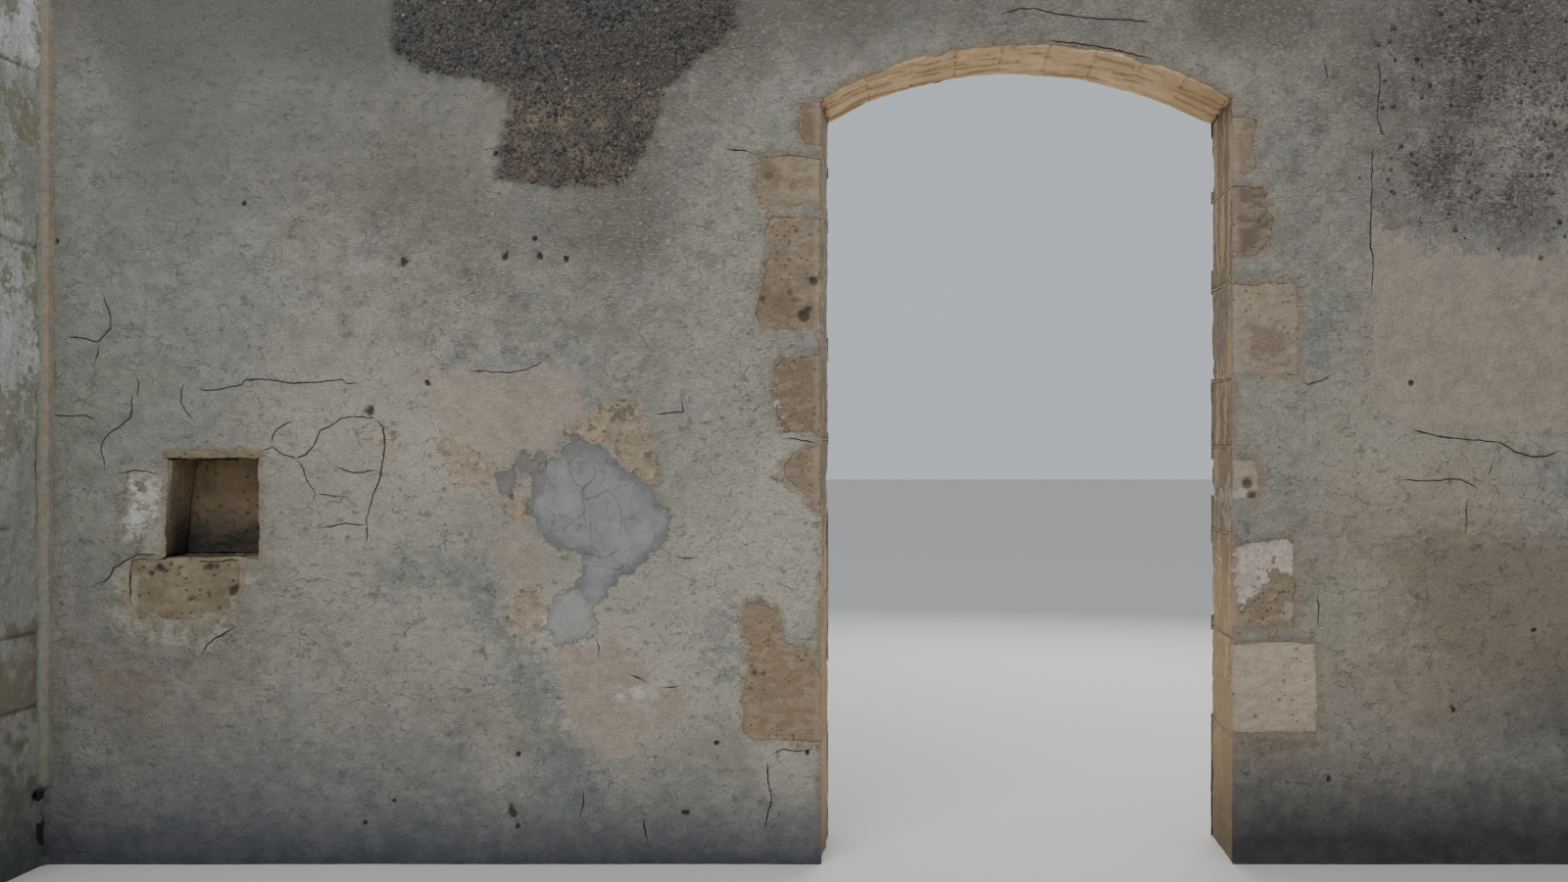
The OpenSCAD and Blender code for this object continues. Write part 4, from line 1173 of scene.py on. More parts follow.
def inset(loop, depth):
    """An outline moved inwards by a depth."""
    line = np.array(loop)
    along = np.roll(line, -1, 0) - np.roll(line, 1, 0)
    along /= np.linalg.norm(along, axis=1)[:, None] + 1e-9
    inward = np.stack([-along[:, 1], along[:, 0]], 1)
    area = np.sum(line[:, 0] * np.roll(line[:, 1], -1) - np.roll(line[:, 0], -1) * line[:, 1])
    return (line + inward * math.copysign(depth, area)).tolist()


def render_layers(tree):
    """The render's colour and relief, from its weathering and from the patches that its mesh marks."""
    worn = weather(tree, 0.0)
    other = weather(tree, 21.0)
    mottled, flecked = worn["Mottle"], worn["Fleck"]
    shade, warmth, gritty = read(tree, "shade"), read(tree, "warmth"), read(tree, "gritty")
    pink = patch(tree, "pink", 0.05, 0.02)
    rough_part = 1.0 - pink * 0.75
    repaired = patch(tree, "cement", 0.022, 0.006)
    fallen = patch(tree, "fallen", 0.022, 0.05)
    stones = pitted(tree, 0.017, 0.42)
    pocks = pitted(tree, 0.034, 0.22) * (1.0 - repaired)
    stain = tint(blend(mottled, tone(110, 113, 114), tone(134, 136, 136)), (flecked * 0.35, 82, 82, 80))
    clump = ramp(other["Mottle"], 0.45, 0.8) * ramp(flecked, 0.35, 0.8)
    sand = tint(blend(mottled, tone(139, 124, 104), tone(167, 152, 131)),
                (other["Fleck"] * 0.4, 118, 104, 84), (clump * 0.85, 84, 69, 52))
    limed = blend(ramp(other["Mottle"], 0.3, 0.7), tone(143, 141, 129), tone(121, 119, 103))
    smear = patch(tree, "white_smear", 0.035, 0.03) * ramp(worn["Stroke"], 0.1, 0.7)
    flaked = read(tree, "fringe") + mottled * 0.5 + flecked * 0.3
    smudge = ramp(other["Stroke"] * flecked, 0.5, 0.9)
    veins = calc("MAXIMUM", worn["Vein"] * ramp(other["Mottle"], 0.45, 0.8),
                 other["Vein"] * ramp(mottled, 0.5, 0.85)) * rough_part
    sanded = read(tree, "grain") * rough_part
    place = object_place(tree)
    sway = values(node(tree, "ShaderNodeTexNoise", {"Vector": place, "Scale": 7.0, "Detail": 3.0}).outputs)
    wavy = result(tree, "ShaderNodeVectorMath", {0: sway["Color"], 1: (0.16, 0.16, 0.16), 2: place},
                  operation="MULTIPLY_ADD")
    net = result(tree, "ShaderNodeTexVoronoi", {"Vector": wavy, "Scale": 9.0}, feature="DISTANCE_TO_EDGE")
    cement = tint(
        blend(other["Mottle"], tone(120, 120, 121), tone(135, 134, 132)),
        (mottled * 0.4, 112, 112, 112),
        (worn["Speck"] * 0.12, 98, 96, 94),
        (ramp(read(tree, "cement") + mottled * -0.04, 0.035, -0.02, 0.0, 0.75), 100, 99, 98),
        (ramp(net, 0.035, 0.006, 0.0, 0.6) * mottled, 80, 79, 80),
        (ramp(patch(tree, "dull_repair", 0.05, 0.05), 0.0, 1.0, 0.0, 0.7), 107, 104, 99))
    grimy = other["Fleck"] * 0.25 + worn["Blotch"] * 0.5 + worn["Scratch"] * 0.4 + worn["Speck"] * 0.4
    backing = tint(
        blend(mottled, tone(49, 47, 47), tone(76, 70, 66)),
        (worn["Blotch"] * 0.45, 70, 72, 74),
        (other["Mottle"] * ramp(read(tree, "low_part"), 0.0, 1.0, 0.1, 0.85), 120, 110, 86),
        (other["Fleck"] * 0.55, 50, 46, 41),
        (ramp(worn["Speck"], 0.5, 0.9, 0.0, 0.5), 104, 99, 92),
        (ramp(other["Speck"], 0.4, 0.9, 0.0, 0.7), 34, 32, 31))
    foot = read(tree, "foot") * ramp(mottled, 0.0, 1.0, 1.0, 0.93)
    foot_tone = blend(foot, tone(60, 68, 88), tone(50, 52, 59))
    base = tint(
        blend(worn["Cloud"], tone(113, 115, 107), tone(130, 127, 120)),
        (worn["Blotch"] * 0.7, 146, 144, 135),
        (other["Blotch"] * 0.7, 122, 120, 94),
        (other["Cloud"] * 0.4, 116, 120, 122),
        (other["Wash"] * 0.4, 132, 118, 110),
        (other["Mottle"] * 0.6, 102, 101, 95),
        (mottled * 0.6, 152, 149, 138),
        (ramp(shade, 0.0, 1.0, 0.0, 0.9), 160, 155, 143),
        (ramp(shade, 0.0, -1.0, 0.0, 0.9), 72, 67, 61),
        (ramp(warmth, 0.0, 1.0, 0.0, 0.5), 140, 122, 98),
        (ramp(warmth, 0.0, -1.0, 0.0, 0.5), 103, 112, 111),
        (patch(tree, "tan", 0.12, 0.1) * 0.65, blend(mottled, tone(128, 115, 95), tone(98, 89, 74))),
        (patch(tree, "stain", 0.1, 0.05) * 0.75, stain),
        (patch(tree, "pale", 0.12, 0.12) * 0.35, 152, 148, 135),
        (pink * 0.78, blend(mottled, tone(158, 145, 133), tone(140, 129, 118))),
        (patch(tree, "bare_sand", 0.06, 0.012) * 0.85, sand),
        (patch(tree, "limed", 0.03, 0.02) * 0.85, limed),
        (smear * 0.85, 174, 172, 164),
        (ramp(flaked, 1.0, 1.45, 0.0, 0.75), 130, 116, 94),
        (smudge * rough_part * 0.6, 82, 77, 68),
        (veins * ramp(gritty, 0.0, 1.0, 0.55, 0.95), 66, 61, 54),
        (worn["Speck"] * 0.34, 86, 81, 72),
        (other["Fleck"] * 0.2, 88, 85, 76),
        (ramp(other["Speck"], 0.7, 1.0, 0.0, 0.12), 160, 155, 143),
        (sanded * worn["Scratch"] * 0.5, 76, 72, 66),
        (sanded * other["Scratch"] * 0.28, 164, 161, 153),
        (repaired, cement),
        (repaired * patch(tree, "pale_repair", 0.03, 0.03) * 0.5, 144, 142, 136),
        (gritty * ramp(grimy, 0.25, 1.1) * 0.9, 60, 51, 53),
        (gritty * other["Scratch"] * 0.5, 146, 138, 134),
        (gritty * stones * 0.6, 58, 55, 53),
        (fallen, backing),
        (foot, tint(foot_tone, (read(tree, "right_part"), 47, 45, 49))),
        # Painted shade darkens the bottoms of the cracks, the anchor holes and the pocks.
        (ramp(read(tree, "crack"), 0.05, 0.6) * ramp(mottled, 0.1, 0.6, 0.6, 0.92), 50, 45, 39),
        (read(tree, "bored") * 0.9, 44, 40, 36),
        (pocks * 0.4, 74, 68, 58))
    height = (flecked * 0.0022 + worn["Speck"] * 0.0014 + other["Mottle"] * 0.003 - pocks * 0.003
              - veins * 0.0015 + fallen * stones * 0.003)
    return base, height * (1.0 - repaired * 0.75)


lime_render, tree, shader = material("old_lime_render")
finish_with(shader, *render_layers(tree))


def render_marks(points, patched=True):
    """What stains and patches the render at points of the mesh. A plain face has no patches."""
    on_face = points[:, [0, 2]]
    patches = {label: on_wall(outlines) for label, outlines in RENDER_PATCHES.items()}
    patches["fallen"] = lost_outlines
    marks = {label: reach(on_face, outlines) if patched else np.full(len(points), -1.0)
             for label, outlines in patches.items()}
    marks["low_part"] = smooth(-points[:, 2], -3.45, -3.15)
    marks["right_part"] = smooth(points[:, 0], gate_x - 0.4, gate_x + 0.4)
    marks["shade"] = sum(much * soft_spot(on_face, *spot) for *spot, much in SHADES)
    marks["warmth"] = sum(much * soft_spot(on_face, *spot) for *spot, much in HUES)
    marks["grain"] = np.clip(sum(much * soft_spot(on_face, *spot) for *spot, much in GRAINY), 0, 1)
    marks["gritty"] = np.max([soft_spot(on_face, *spot) for spot in GRITTY], axis=0) * patched
    marks["foot"] = foot_band(points)
    return marks


def front_coat(name, step, seed):
    low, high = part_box(name)
    outlines, crumbling = torn_outlines(name, -1)
    ledges = [ledge for loop in lost_outlines for ledge in (loop, inset(loop, 0.005))
              if low.x < loop[0][0] < high.x]
    cracks = [crack_lines(route) for route in CRACKS
              if low.x < gate_x + np.mean(route, 0)[0] < high.x and ("over" in name) == (route[0][1] > 3.5)]
    bores = [bore for bore in BORES if low.x < gate_x + bore[0] < high.x and "over" not in name]
    spots, triangles, at_bottom = cut_sheet(name, -1, step, outlines, seed, cracks, ledges, bores)
    depth = crumbled(spots, crumbling, crumble_depth) - floated(spots)
    in_bore = bored(spots, bores)
    depth += bore_depth * smooth(in_bore, 0.0, 0.3)
    flat = stood_up(spots)
    pebbly = 0.003 * fractal(flat, 0.03, 2, 31.0)
    depth += (lost_depth - 0.001 + pebbly) * smooth(reach(spots, lost_outlines), 0.0, 0.005)
    sand = reach(spots, on_wall(RENDER_PATCHES["bare_sand"]))
    depth += 0.0025 * smooth(sand + 0.02 * fractal(flat, 0.05, 3, 35.0), 0.0, 0.008)
    depth = np.minimum(depth + crack_depth * at_bottom, coat_depth - 0.0015)
    points, faces, rim = closed_sheet(stood_up(spots, coat_y + depth), triangles, outlines, stone_y)
    marks = render_marks(points)
    behind = np.zeros(len(rim))
    marks["crack"] = np.concatenate([at_bottom * 1.0, behind])
    marks["bored"] = np.concatenate([smooth(in_bore, 0.02, 0.25), behind])
    marks["fringe"] = smooth(-distance_to(points[:, [0, 2]], crumbling), -fringe_width, 0.0)
    return piece(name + "_aged", points, faces, lime_render, [name], marks)


front_coats = {name: front_coat(name, step, seed)
               for seed, (name, step) in enumerate(front_step.items(), 1)}

# The repair is a trowelled patch of smooth cement on the render, a few millimetres proud and feathered out
# at its rim, greyer and bluer than the lime, with a net of fine shrinkage cracks.
repair_step = 0.0095
repair_proud = coat_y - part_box("cement_repair")[0].y
SHRINKAGE = [
    [(-1.95, 1.68), (-1.92, 1.62), (-1.885, 1.59), (-1.885, 1.545), (-1.88, 1.49), (-1.96, 1.43),
     (-1.975, 1.395)],
    [(-1.882, 1.548), (-1.83, 1.562), (-1.78, 1.587), (-1.745, 1.55), (-1.725, 1.5), (-1.722, 1.445),
     (-1.73, 1.392)],
    [(-1.854, 1.462), (-1.848, 1.42), (-1.858, 1.375)],
    [(-1.885, 1.59), (-1.835, 1.65), (-1.84, 1.72)], [(-1.95, 1.68), (-1.945, 1.71), (-1.90, 1.745)],
    [(-1.885, 1.32), (-1.80, 1.30), (-1.74, 1.33)], [(-1.85, 1.27), (-1.75, 1.25)],
    [(-1.835, 1.06), (-1.825, 0.99)]]

cement, tree, shader = material("smooth_cement_repair")
finish_with(shader, *render_layers(tree))
shader.inputs["Roughness"].default_value = 0.8

outlines, _ = torn_outlines("cement_repair", -1)
spots, triangles, at_bottom = cut_sheet("cement_repair", -1, repair_step, outlines, 9,
                                        [crack_lines(route) for route in SHRINKAGE])
trowelled = reach(spots, on_wall(RENDER_PATCHES["cement"]))
depth = 0.002 * at_bottom - floated(spots) - repair_proud * smooth(trowelled, -0.004, 0.02)
points, faces, rim = closed_sheet(stood_up(spots, coat_y + depth), triangles, outlines, stone_y)
marks = render_marks(points)
# Painted shade, weaker, in the bottoms of the shrinkage cracks.
marks["crack"] = np.concatenate([at_bottom * 0.36, np.zeros(len(rim))])
marks["bored"] = marks["fringe"] = np.zeros(len(points))
piece("cement_repair_aged", points, faces, cement, ["cement_repair"], marks)

# Where the finishing coat has fallen, at the top left, and where it has worn thin at the top right, the
# pebbles of the backing coat stand out of the lime. They sit half sunk in it, dark with soot and lichen.
PEBBLE_SIZES = {"Per Square Metre": 3200.0, "Smallest": 0.0022, "Largest": 0.0125, "Seed": 7}
pebbles, given, out = geometry_group("half_sunk_pebbles", "Coat", PEBBLE_SIZES)


def chance(tree, low, high, seed):
    return Value(node(tree, "FunctionNodeRandomValue", {2: low, 3: high, "Seed": seed},
                      data_type="FLOAT").outputs[1])


in_fallen = calc("GREATER_THAN", mark_of(pebbles, "fallen"), 0.008)
share = calc("MAXIMUM", in_fallen, mark_of(pebbles, "gritty") * 0.16)
spread = node(pebbles, "GeometryNodeDistributePointsOnFaces",
              {"Mesh": given["Coat"], "Distance Min": 0.007, "Density Max": given["Per Square Metre"],
               "Density Factor": share, "Seed": given["Seed"]}, distribute_method="POISSON")
spread = values(spread.outputs)
ball = result(pebbles, "GeometryNodeMeshIcoSphere", {"Radius": 1.0, "Subdivisions": 1})
scale = calc("POWER", chance(pebbles, 0.0, 1.0, 11), 2.0)
scale = result(pebbles, "ShaderNodeMapRange", {"Value": scale, "To Min": given["Smallest"],
                                               "To Max": given["Largest"]})
shape = join_vector(scale * chance(pebbles, 0.75, 1.35, 12), scale, scale * 0.6)
turn = join_vector(0.0, 0.0, chance(pebbles, 0.0, 6.28, 13))
upright = result(pebbles, "FunctionNodeRotateRotation", {0: spread["Rotation"], 1: turn},
                 rotation_space="LOCAL")
stuck = result(pebbles, "GeometryNodeInstanceOnPoints",
               {"Points": spread["Points"], "Instance": ball, "Rotation": upright, "Scale": shape})
stuck = marked(stuck, "pebble", chance(pebbles, 0.0, 1.0, 14), "INSTANCE")
stuck = on_geometry("GeometryNodeRealizeInstances", stuck)
here = result(pebbles, "GeometryNodeInputPosition")
knobbly = noise_value(vector("MULTIPLY", here, (160, 160, 160)), 1.0)
painted(pushed(stuck, knobbly * 0.003), given, out)

sooty_pebble, tree, shader = material("sooty_pebble")
worn = weather(tree, 41.0)
which = read(tree, "pebble")
upward = separate(object_place(tree))["Z"]
colour = tint(
    blend(ramp(which, 0.0, 0.75), tone(40, 38, 37), tone(80, 75, 70)),
    (ramp(upward, 3.5, 3.2) * ramp(worn["Mottle"], 0.2, 0.8) * 0.7, 104, 95, 74),
    (ramp(worn["Blotch"], 0.5, 0.9, 0.0, 0.6), 92, 80, 74),
    (ramp(worn["Blotch"], 0.5, 0.1, 0.0, 0.6), 42, 44, 47),
    (ramp(which, 0.93, 0.99), 128, 122, 110),
    (ramp(which, 0.985, 0.995), 104, 90, 78),
    (worn["Speck"] * 0.35, 52, 49, 46))
finish_with(shader, colour, worn["Speck"] * 0.0006)

for side, seed in (("left", 7), ("right", 9)):
    made_by_nodes(f"exposed_grit_{side}", pebbles, {**PEBBLE_SIZES, "Seed": seed, "Stone": sooty_pebble},
                  source=front_coats[f"coat_front_{side}"].data.copy())

# The niche is a small square hole left of the gateway: a thin slab of yellow stone over it, a limewashed
# dressed stone at its left, a soft pitted block under it, and rubble behind, darkened towards the bottom
# by painted shade.
niche_floor, niche_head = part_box("niche_back_wall")[0].z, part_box("niche_back_wall")[1].z


def box_surface(low, high, step):
    """Points and quads all over a box, with the points about a step apart."""
    lines = [steps(low[axis], high[axis], step).tolist() for axis in range(3)]
    order, faces = {}, []
    for axis in range(3):
        across, up = (axis + 1) % 3, (axis + 2) % 3
        for end in (lines[axis][0], lines[axis][-1]):
            for a, b in zip(lines[across], lines[across][1:]):
                for c, d in zip(lines[up], lines[up][1:]):
                    quad = []
                    for u, v in ((a, c), (b, c), (b, d), (a, d)):
                        spot = [end, end, end]
                        spot[across], spot[up] = u, v
                        quad.append(order.setdefault(tuple(spot), len(order)))
                    faces.append(quad)
    return np.array(list(order)), faces


def worn_box(low, high, step, wear, rough, shift):
    """Points, quads and outward directions all over a box, its arrises worn round and its faces uneven."""
    low, high = np.array(low), np.array(high)
    flat, faces = box_surface(low, high, step)
    wear = wear * (1 + 0.4 * fractal(flat, 0.08, 2, shift))[:, None]
    inner = np.clip(flat, low + wear, high - wear)
    outward = flat - inner
    outward /= np.linalg.norm(outward, axis=1)[:, None]
    uneven = 0.8 * fractal(flat, 0.09, 3, shift + 2) + 0.5 * fractal(flat, 0.025, 2, shift + 4) - 0.4
    return inner + outward * (wear + rough * uneven[:, None]), faces, outward


niche_stone, tree, shader = material("niche_stone")
worn = weather(tree, 17.0)
lumps = ramp(read(tree, "limed") + worn["Mottle"] * 0.7 + worn["Fleck"] * 0.35, 1.05, 1.3)
holes = pitted(tree, 0.02, 0.45) * (1.0 - lumps)
colour = tint(
    blend(worn["Blotch"], tone(130, 118, 98), tone(108, 98, 76)),
    (worn["Fleck"] * 0.5, 92, 82, 64),
    (lumps * 0.8, blend(worn["Fleck"], tone(142, 139, 122), tone(122, 119, 102))),
    (read(tree, "inside") * ramp(worn["Mottle"], 0.0, 1.0, 0.3, 0.75), 134, 113, 84),
    # Painted shade in the pits and the hollows.
    (holes * 0.7, 58, 47, 36),
    (read(tree, "hollow") * 0.85, 50, 40, 32),
    # Painted shade: darker deep in the niche and towards its bottom.
    (read(tree, "soot") * 0.9, 35, 33, 33))
finish_with(shader, colour, worn["Fleck"] * 0.002 - holes * 0.004)

SILL_HOLLOWS = [(-3.672, 1.256, 0.022, 0.013), (-3.48, 1.26, 0.015, 0.010), (-3.45, 1.267, 0.012, 0.008),
                (-3.37, 1.163, 0.020, 0.012), (-3.56, 1.13, 0.014, 0.006), (-3.73, 1.235, 0.012, 0.007),
                (-3.60, 1.262, 0.010, 0.007)]


def slanted(points):
    """How far the niche's left side leans out of plumb at points beside it."""
    share = np.clip((points[:, 2] - niche_floor) / (niche_head - niche_floor), 0, 1)
    return (share - 0.45) * 0.045 * smooth(-abs(points[:, 0] - niche_left_x), -0.06, -0.01)


def niche_piece(name, step, wear, rough, shift, soot, limed, stand=0.0):
    low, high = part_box(name)
    points, faces, outward = worn_box(low, high, step, wear, rough, shift)
    on_front = np.clip(-outward[:, 1], 0, 1)
    on_face = points[:, [0, 2]]
    deepest = np.zeros(len(points))
    ragged = 1 + 0.9 * fractal(points, 0.022, 2, 33.0)
    for x, z, radius, depth in SILL_HOLLOWS:
        share = np.hypot((on_face[:, 0] - gate_x - x) / 1.4, on_face[:, 1] - z) / radius * ragged
        deepest = np.maximum(deepest, depth * np.clip(1 - share ** 2, 0, 1) * on_front)
    from_edge = reach(on_face, face_loops("niche_sill_block", -1))
    bulge = stand * smooth(from_edge, 0.0, 0.04) * on_front
    if stand:
        limed = limed * smooth(-from_edge, -0.09, -0.01) * smooth(-on_face[:, 1], -1.30, -1.20)
    points[:, 0] += slanted(points)
    points[:, 1] += deepest - bulge
    up = (points[:, 2] - niche_floor) / (niche_head - niche_floor)
    inside = smooth(points[:, 1], stone_y + 0.01, stone_y + 0.10)
    # Painted shade: dark deep in the niche and towards its bottom, fading upwards.
    dark = soot * inside * (1 - 0.97 * smooth(up, 0.1, 0.75))
    return piece(name + "_aged", points, faces, niche_stone, [name],
                 {"soot": dark, "inside": inside, "limed": limed + 0 * dark,
                  "hollow": smooth(deepest, 0.001, 0.007)})


niche_piece("niche_back_wall", 0.010, 0.004, 0.014, 1.0, 1.0, 0.0)
niche_piece("niche_left_stone", 0.009, 0.008, 0.003, 5.0, 1.0, 0.3)
niche_piece("niche_lintel", 0.007, 0.007, 0.006, 9.0, 0.3, 0.1)
niche_piece("niche_sill_block", 0.008, 0.010, 0.005, 13.0, 0.9, 0.75, 0.007)

# The back is plain lime render on the whole wall, laid like the front, and it turns round the right end.
back_step = 0.024
end_step = 0.03
outlines, crumbling = torn_outlines("coat_back", 1)
spots, triangles, _ = cut_sheet("coat_back", 1, back_step, outlines, 4)
depth = crumbled(spots, crumbling, crumble_depth) - floated(spots)
points, faces, _ = closed_sheet(stood_up(spots, coat_back_y - depth), triangles, outlines, stone_back_y)
right_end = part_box("coat_back")[1].x
end_points, end_faces, outward = worn_box((right_end - coat_depth, stone_y, 0),
                                          (right_end, stone_back_y, wall_top), end_step, 0.002, 0.0, 3.0)
end_points[:, 0] += np.clip(outward[:, 0], 0, 1) * floated(end_points[:, [1, 2]])
faces += [[len(points) + corner for corner in end_face] for end_face in end_faces]
points = np.concatenate([points, end_points])
marks = render_marks(points, patched=False)
marks["crack"] = marks["bored"] = np.zeros(len(points))
marks["fringe"] = smooth(-distance_to(points[:, [0, 2]], crumbling), -fringe_width, 0.0)
piece("coat_back_aged", points, faces, lime_render, ["coat_back"], marks)

# The return wall stands forward at the left end, thick with old limewash on all its faces, streaked by
# rain and stained brown low down, where the wash has gone.
wash_step = 0.014
far_wash_step = 0.05
corner_radius = 0.012
wash_low, wash_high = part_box("return_wall_coat")
visible_end_y = coat_y


def corner(x, y, from_angle):
    """A rounded corner of a plan, as points with the directions they face."""
    turns = np.linspace(from_angle, from_angle + math.pi / 2, 5)
    ways = zip(np.cos(turns), np.sin(turns))
    return [(x + corner_radius * a, y + corner_radius * b, a, b) for a, b in ways]


def prism(ring, levels):
    """Points of a plan's closed ring repeated at each level, and the faces that close them."""
    points = np.array([(x, y, z) for x, y in ring for z in levels])
    rows = len(levels)
    faces = grid_faces(len(ring), rows)
    last = (len(ring) - 1) * rows
    faces += [(last + r, r, r + 1, last + r + 1) for r in range(rows - 1)]
    faces.append([c * rows for c in range(len(ring))])
    faces.append([c * rows + rows - 1 for c in range(len(ring))])
    return points, faces


limewash, tree, shader = material("streaked_limewash")
worn = weather(tree, 51.0)
bare = ramp(worn["Fleck"] * 0.55 + worn["Mottle"] * 0.5 + worn["Blotch"] * 0.7, 0.8, 1.15)
upward = separate(object_place(tree))["Z"]
lost = ramp(read(tree, "brown") + (worn["Mottle"] - 0.5), 0.25, 0.9, 0.0, 0.8)
colour = tint(
    blend(worn["Blotch"], tone(149, 151, 146), tone(170, 168, 163)),
    (read(tree, "white") * 0.8, 200, 200, 200),
    (bare * 0.75, 128, 122, 100),
    (worn["Wash"] * 0.45, 124, 124, 108),
    (worn["Stroke"] * 0.25, 110, 107, 94),
    (ramp(worn["Speck"], 0.72, 0.95, 0.0, 0.5), 92, 90, 78),
    (ramp(upward, 2.3, 1.5, 0.0, 0.5), 131, 132, 127),
    (lost, blend(worn["Mottle"], tone(128, 120, 98), tone(106, 100, 84))),
    (read(tree, "joint") * 0.7, 64, 58, 50),
    # Painted shade in the hole knocked at the wall's foot.
    (read(tree, "hollow") * 0.9, 34, 31, 29),
    (read(tree, "foot") * 0.9, 52, 58, 62))
finish_with(shader, colour, worn["Fleck"] * 0.002 + worn["Speck"] * 0.0008 - bare * 0.002)

outer = [(wash_low.x, y, -1, 0) for y in steps(wash_high.y, wash_low.y + corner_radius, far_wash_step)[:-1]]
outer += corner(wash_low.x + corner_radius, wash_low.y + corner_radius, math.pi)
outer += [(x, wash_low.y, 0, -1)
          for x in steps(wash_low.x + corner_radius, wash_high.x - corner_radius, wash_step)[1:-1]]
outer += corner(wash_high.x - corner_radius, wash_low.y + corner_radius, 1.5 * math.pi)
outer += [(wash_high.x, y, 1, 0) for y in steps(wash_low.y + corner_radius, visible_end_y, wash_step)[1:]]
inner = [(wash_high.x - coat_depth, visible_end_y), (wash_high.x - coat_depth, wash_low.y + coat_depth),
         (wash_low.x + coat_depth, wash_low.y + coat_depth), (wash_low.x + coat_depth, wash_high.y)]
levels = steps(0, wall_top, wash_step)
points, faces = prism([(x, y) for x, y, _, _ in outer] + inner, levels)
outward = np.array([way for way in [(a, b, 0) for _, _, a, b in outer] + [(0, 0, 0)] * len(inner)
                    for _ in levels], float)
WASH_JOINTS = (3.365, 2.62, 1.445, 0.99, 0.68)
joint = np.zeros(len(points))
sway = 0.012 * fractal(points, 0.25, 2, 61.0)
for level in WASH_JOINTS:
    joint = np.maximum(joint, smooth(-abs(points[:, 2] + sway - level), -0.012, -0.003))
joint *= smooth(fractal(points, 0.15, 2, 64.0), -0.4, 0.2)
foot_hole = smooth(-np.hypot((points[:, 1] - coat_y + 0.03) / 1.6, points[:, 2] - 0.305), -0.028, -0.012)
lift = 0.006 * fractal(points, 0.5, 3, 67.0) + 0.003 * fractal(points, 0.08, 3, 70.0) - 0.001
lift -= 0.005 * joint + 0.016 * foot_hole * (outward[:, 0] > 0.5)
points += outward * lift[:, None]
white = np.maximum(smooth(points[:, 2], 3.25, 3.45), 0.55 * smooth(-abs(points[:, 2] - 2.2), -0.8, -0.1))
brown = 0.8 * smooth(-abs(points[:, 2] - 0.85), -0.32, -0.1) + 0.6 * smooth(-points[:, 2], -0.9, -0.3)
piece("return_wall_coat_aged", points, faces, limewash, ["return_wall_coat"],
      {"white": white, "brown": brown, "joint": joint, "hollow": foot_hole * (outward[:, 0] > 0.5),
       "foot": foot_band(points)})

# A fillet of reddish mortar fills the corner between the return wall and the face of the wall.
fillet_step = 0.012
fillet_low, fillet_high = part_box("corner_fillet")
fillet_leg = fillet_high.x - fillet_low.x
red_mortar, tree, shader = material("reddish_fillet_mortar")
worn = weather(tree, 61.0)
reddish = read(tree, "upper_part") * ramp(worn["Cloud"], 0.0, 1.0, 0.5, 1.0)
washed = read(tree, "lapped") + (worn["Mottle"] - 0.5)
colour = tint(
    blend(worn["Blotch"], tone(130, 124, 108), tone(118, 116, 104)),
    (reddish, blend(worn["Mottle"], tone(147, 130, 112), tone(129, 115, 100))),
    (worn["Fleck"] * 0.5, 148, 144, 132),
    (worn["Speck"] * 0.3, 84, 76, 66),
    (ramp(washed, 0.4, 0.7, 0.0, 0.85), 128, 129, 118),
    # Painted shadow along the seam with the wall's coat, and painted shade in the knocked hollow.
    (read(tree, "seam") * 0.4, 84, 77, 69),
    (read(tree, "foot") * 0.9, 52, 54, 54),
    (read(tree, "hollow"), 30, 29, 28))
finish_with(shader, colour, worn["Fleck"] * 0.0025)
curve = [(fillet_low.x + fillet_leg * (1 - math.sin(turn)),
          fillet_high.y - fillet_leg * (1 - math.cos(turn))) for turn in np.linspace(0, math.pi / 2, 19)]
points, faces = prism(curve + [(fillet_low.x, fillet_high.y)], steps(0, wall_top, fillet_step))
rows = len(points) // (len(curve) + 1)
inner_points = np.repeat([0] + [1] * (len(curve) - 2) + [0, 0], rows)
away = np.array([0.7071, -0.7071, 0]) * inner_points[:, None]
knocked = smooth(-abs(points[:, 2] - 0.19 + 0.03 * fractal(points, 0.04, 2, 11.0)), -0.15, -0.125)
points += away * (0.005 * fractal(points, 0.10, 3, 5.0) + 0.002 * fractal(points, 0.03, 2, 8.0))[:, None]
points -= away * (0.016 * knocked)[:, None]
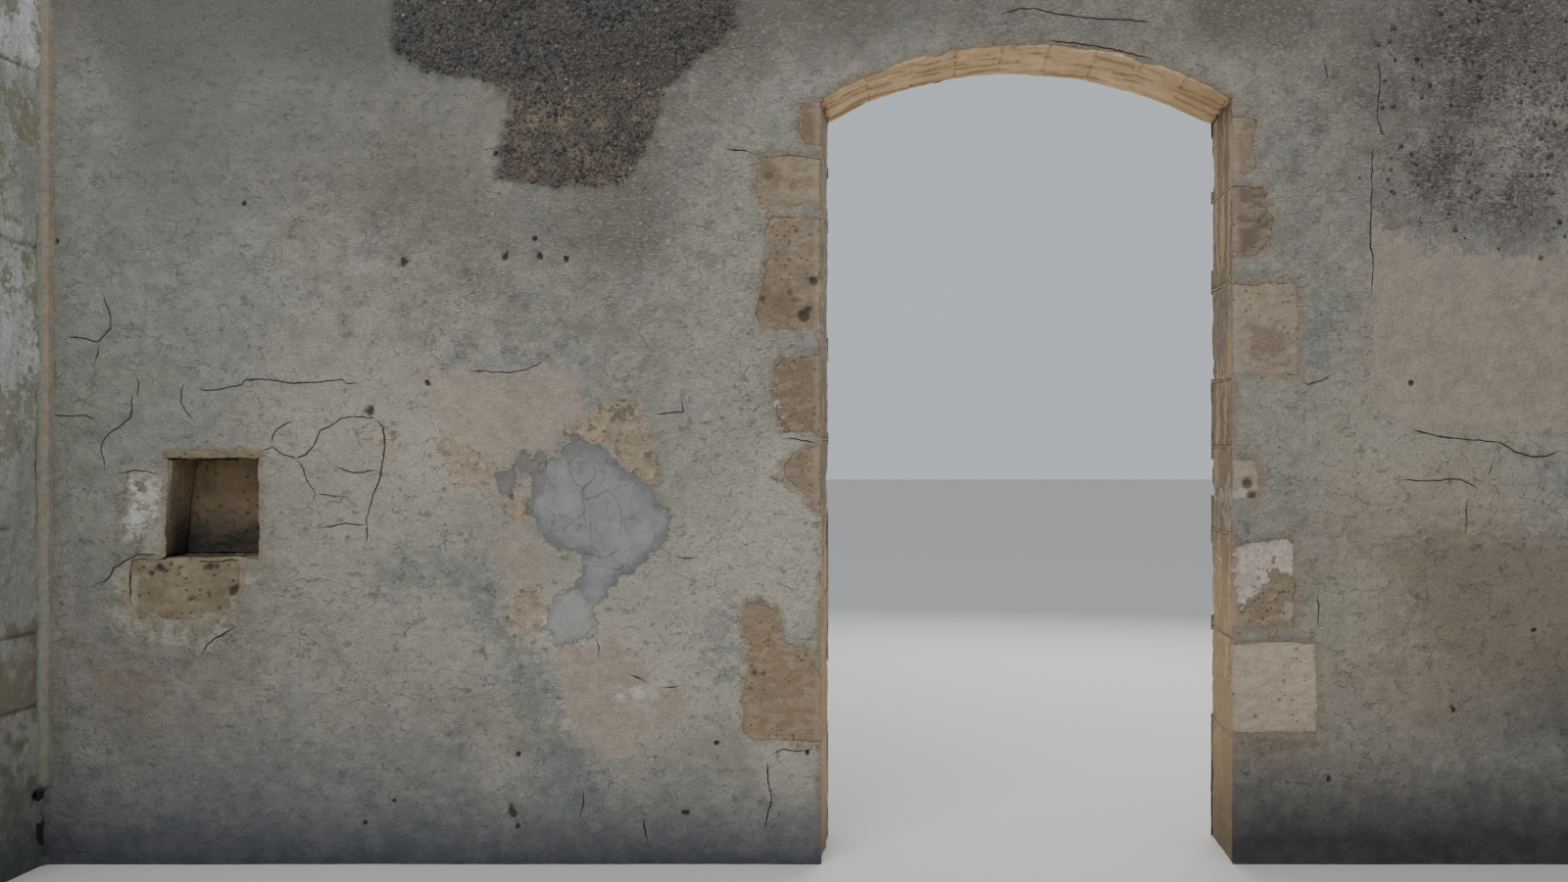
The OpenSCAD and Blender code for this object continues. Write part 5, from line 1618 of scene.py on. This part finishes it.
piece("corner_fillet_aged", points, faces, red_mortar, ["corner_fillet"],
      {"foot": foot_band(points), "hollow": knocked, "upper_part": smooth(points[:, 2], 0.8, 1.6),
       "lapped": smooth(-points[:, 0], -fillet_low.x - 0.018, -fillet_low.x - 0.006),
       "seam": smooth(points[:, 0], fillet_high.x - 0.024, fillet_high.x - 0.019)})

# A cap of mortar sheds the rain to both sides of both walls. It is trowelled to a blunt ridge, worn and
# spotted with lichen.
cap_step = 0.025
cap_edge = 0.035
cap_mortar, tree, shader = material("weathered_cap_mortar")
worn = weather(tree, 71.0)
colour = tint(
    blend(worn["Blotch"], tone(122, 118, 106), tone(98, 96, 88)),
    (worn["Fleck"] * 0.5, 84, 82, 74),
    (ramp(worn["Speck"], 0.75, 0.95, 0.0, 0.6), 140, 138, 120),
    (pitted(tree, 0.045, 0.3), 60, 58, 52))
finish_with(shader, colour, worn["Fleck"] * 0.003)


def cap_ring(width, base, ridge):
    """The profile of a cap, across it and upright, from one lower edge over the ridge to the other."""
    half = width / 2
    slope = [(u, base + cap_edge + (ridge - base - cap_edge) * (1 - abs(u) / half)) for u in
             steps(-half, half, cap_step)]
    return [(-half, base), (-half, base + cap_edge / 2), *slope, (half, base + cap_edge / 2), (half, base)]


def cap(name, along_x):
    low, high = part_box(name)
    across, length = ((low.y, high.y), (low.x, high.x)) if along_x else ((low.x, high.x), (low.y, high.y))
    middle = sum(across) / 2
    ring = cap_ring(across[1] - across[0], low.z, high.z)
    local, faces = prism(ring, steps(*length, cap_step))
    wear = 0.007 * fractal(local, 0.20, 3, 81.0) + 0.003 * fractal(local, 0.04, 2, 84.0) - 0.005
    local[:, 1] += np.where(local[:, 1] > low.z + 0.01, np.minimum(wear, 0.0), 0)
    local[:, 0] *= 1 - 0.012 * np.clip(1 + fractal(local, 0.12, 2, 87.0), 0, 2)
    if along_x:
        points = np.stack([local[:, 2], local[:, 0] + middle, local[:, 1]], 1)
    else:
        points = np.stack([local[:, 0] + middle, local[:, 2], local[:, 1]], 1)
    piece(name + "_aged", points, faces, cap_mortar, [name])


cap("wall_cap", True)
cap("return_wall_cap", False)
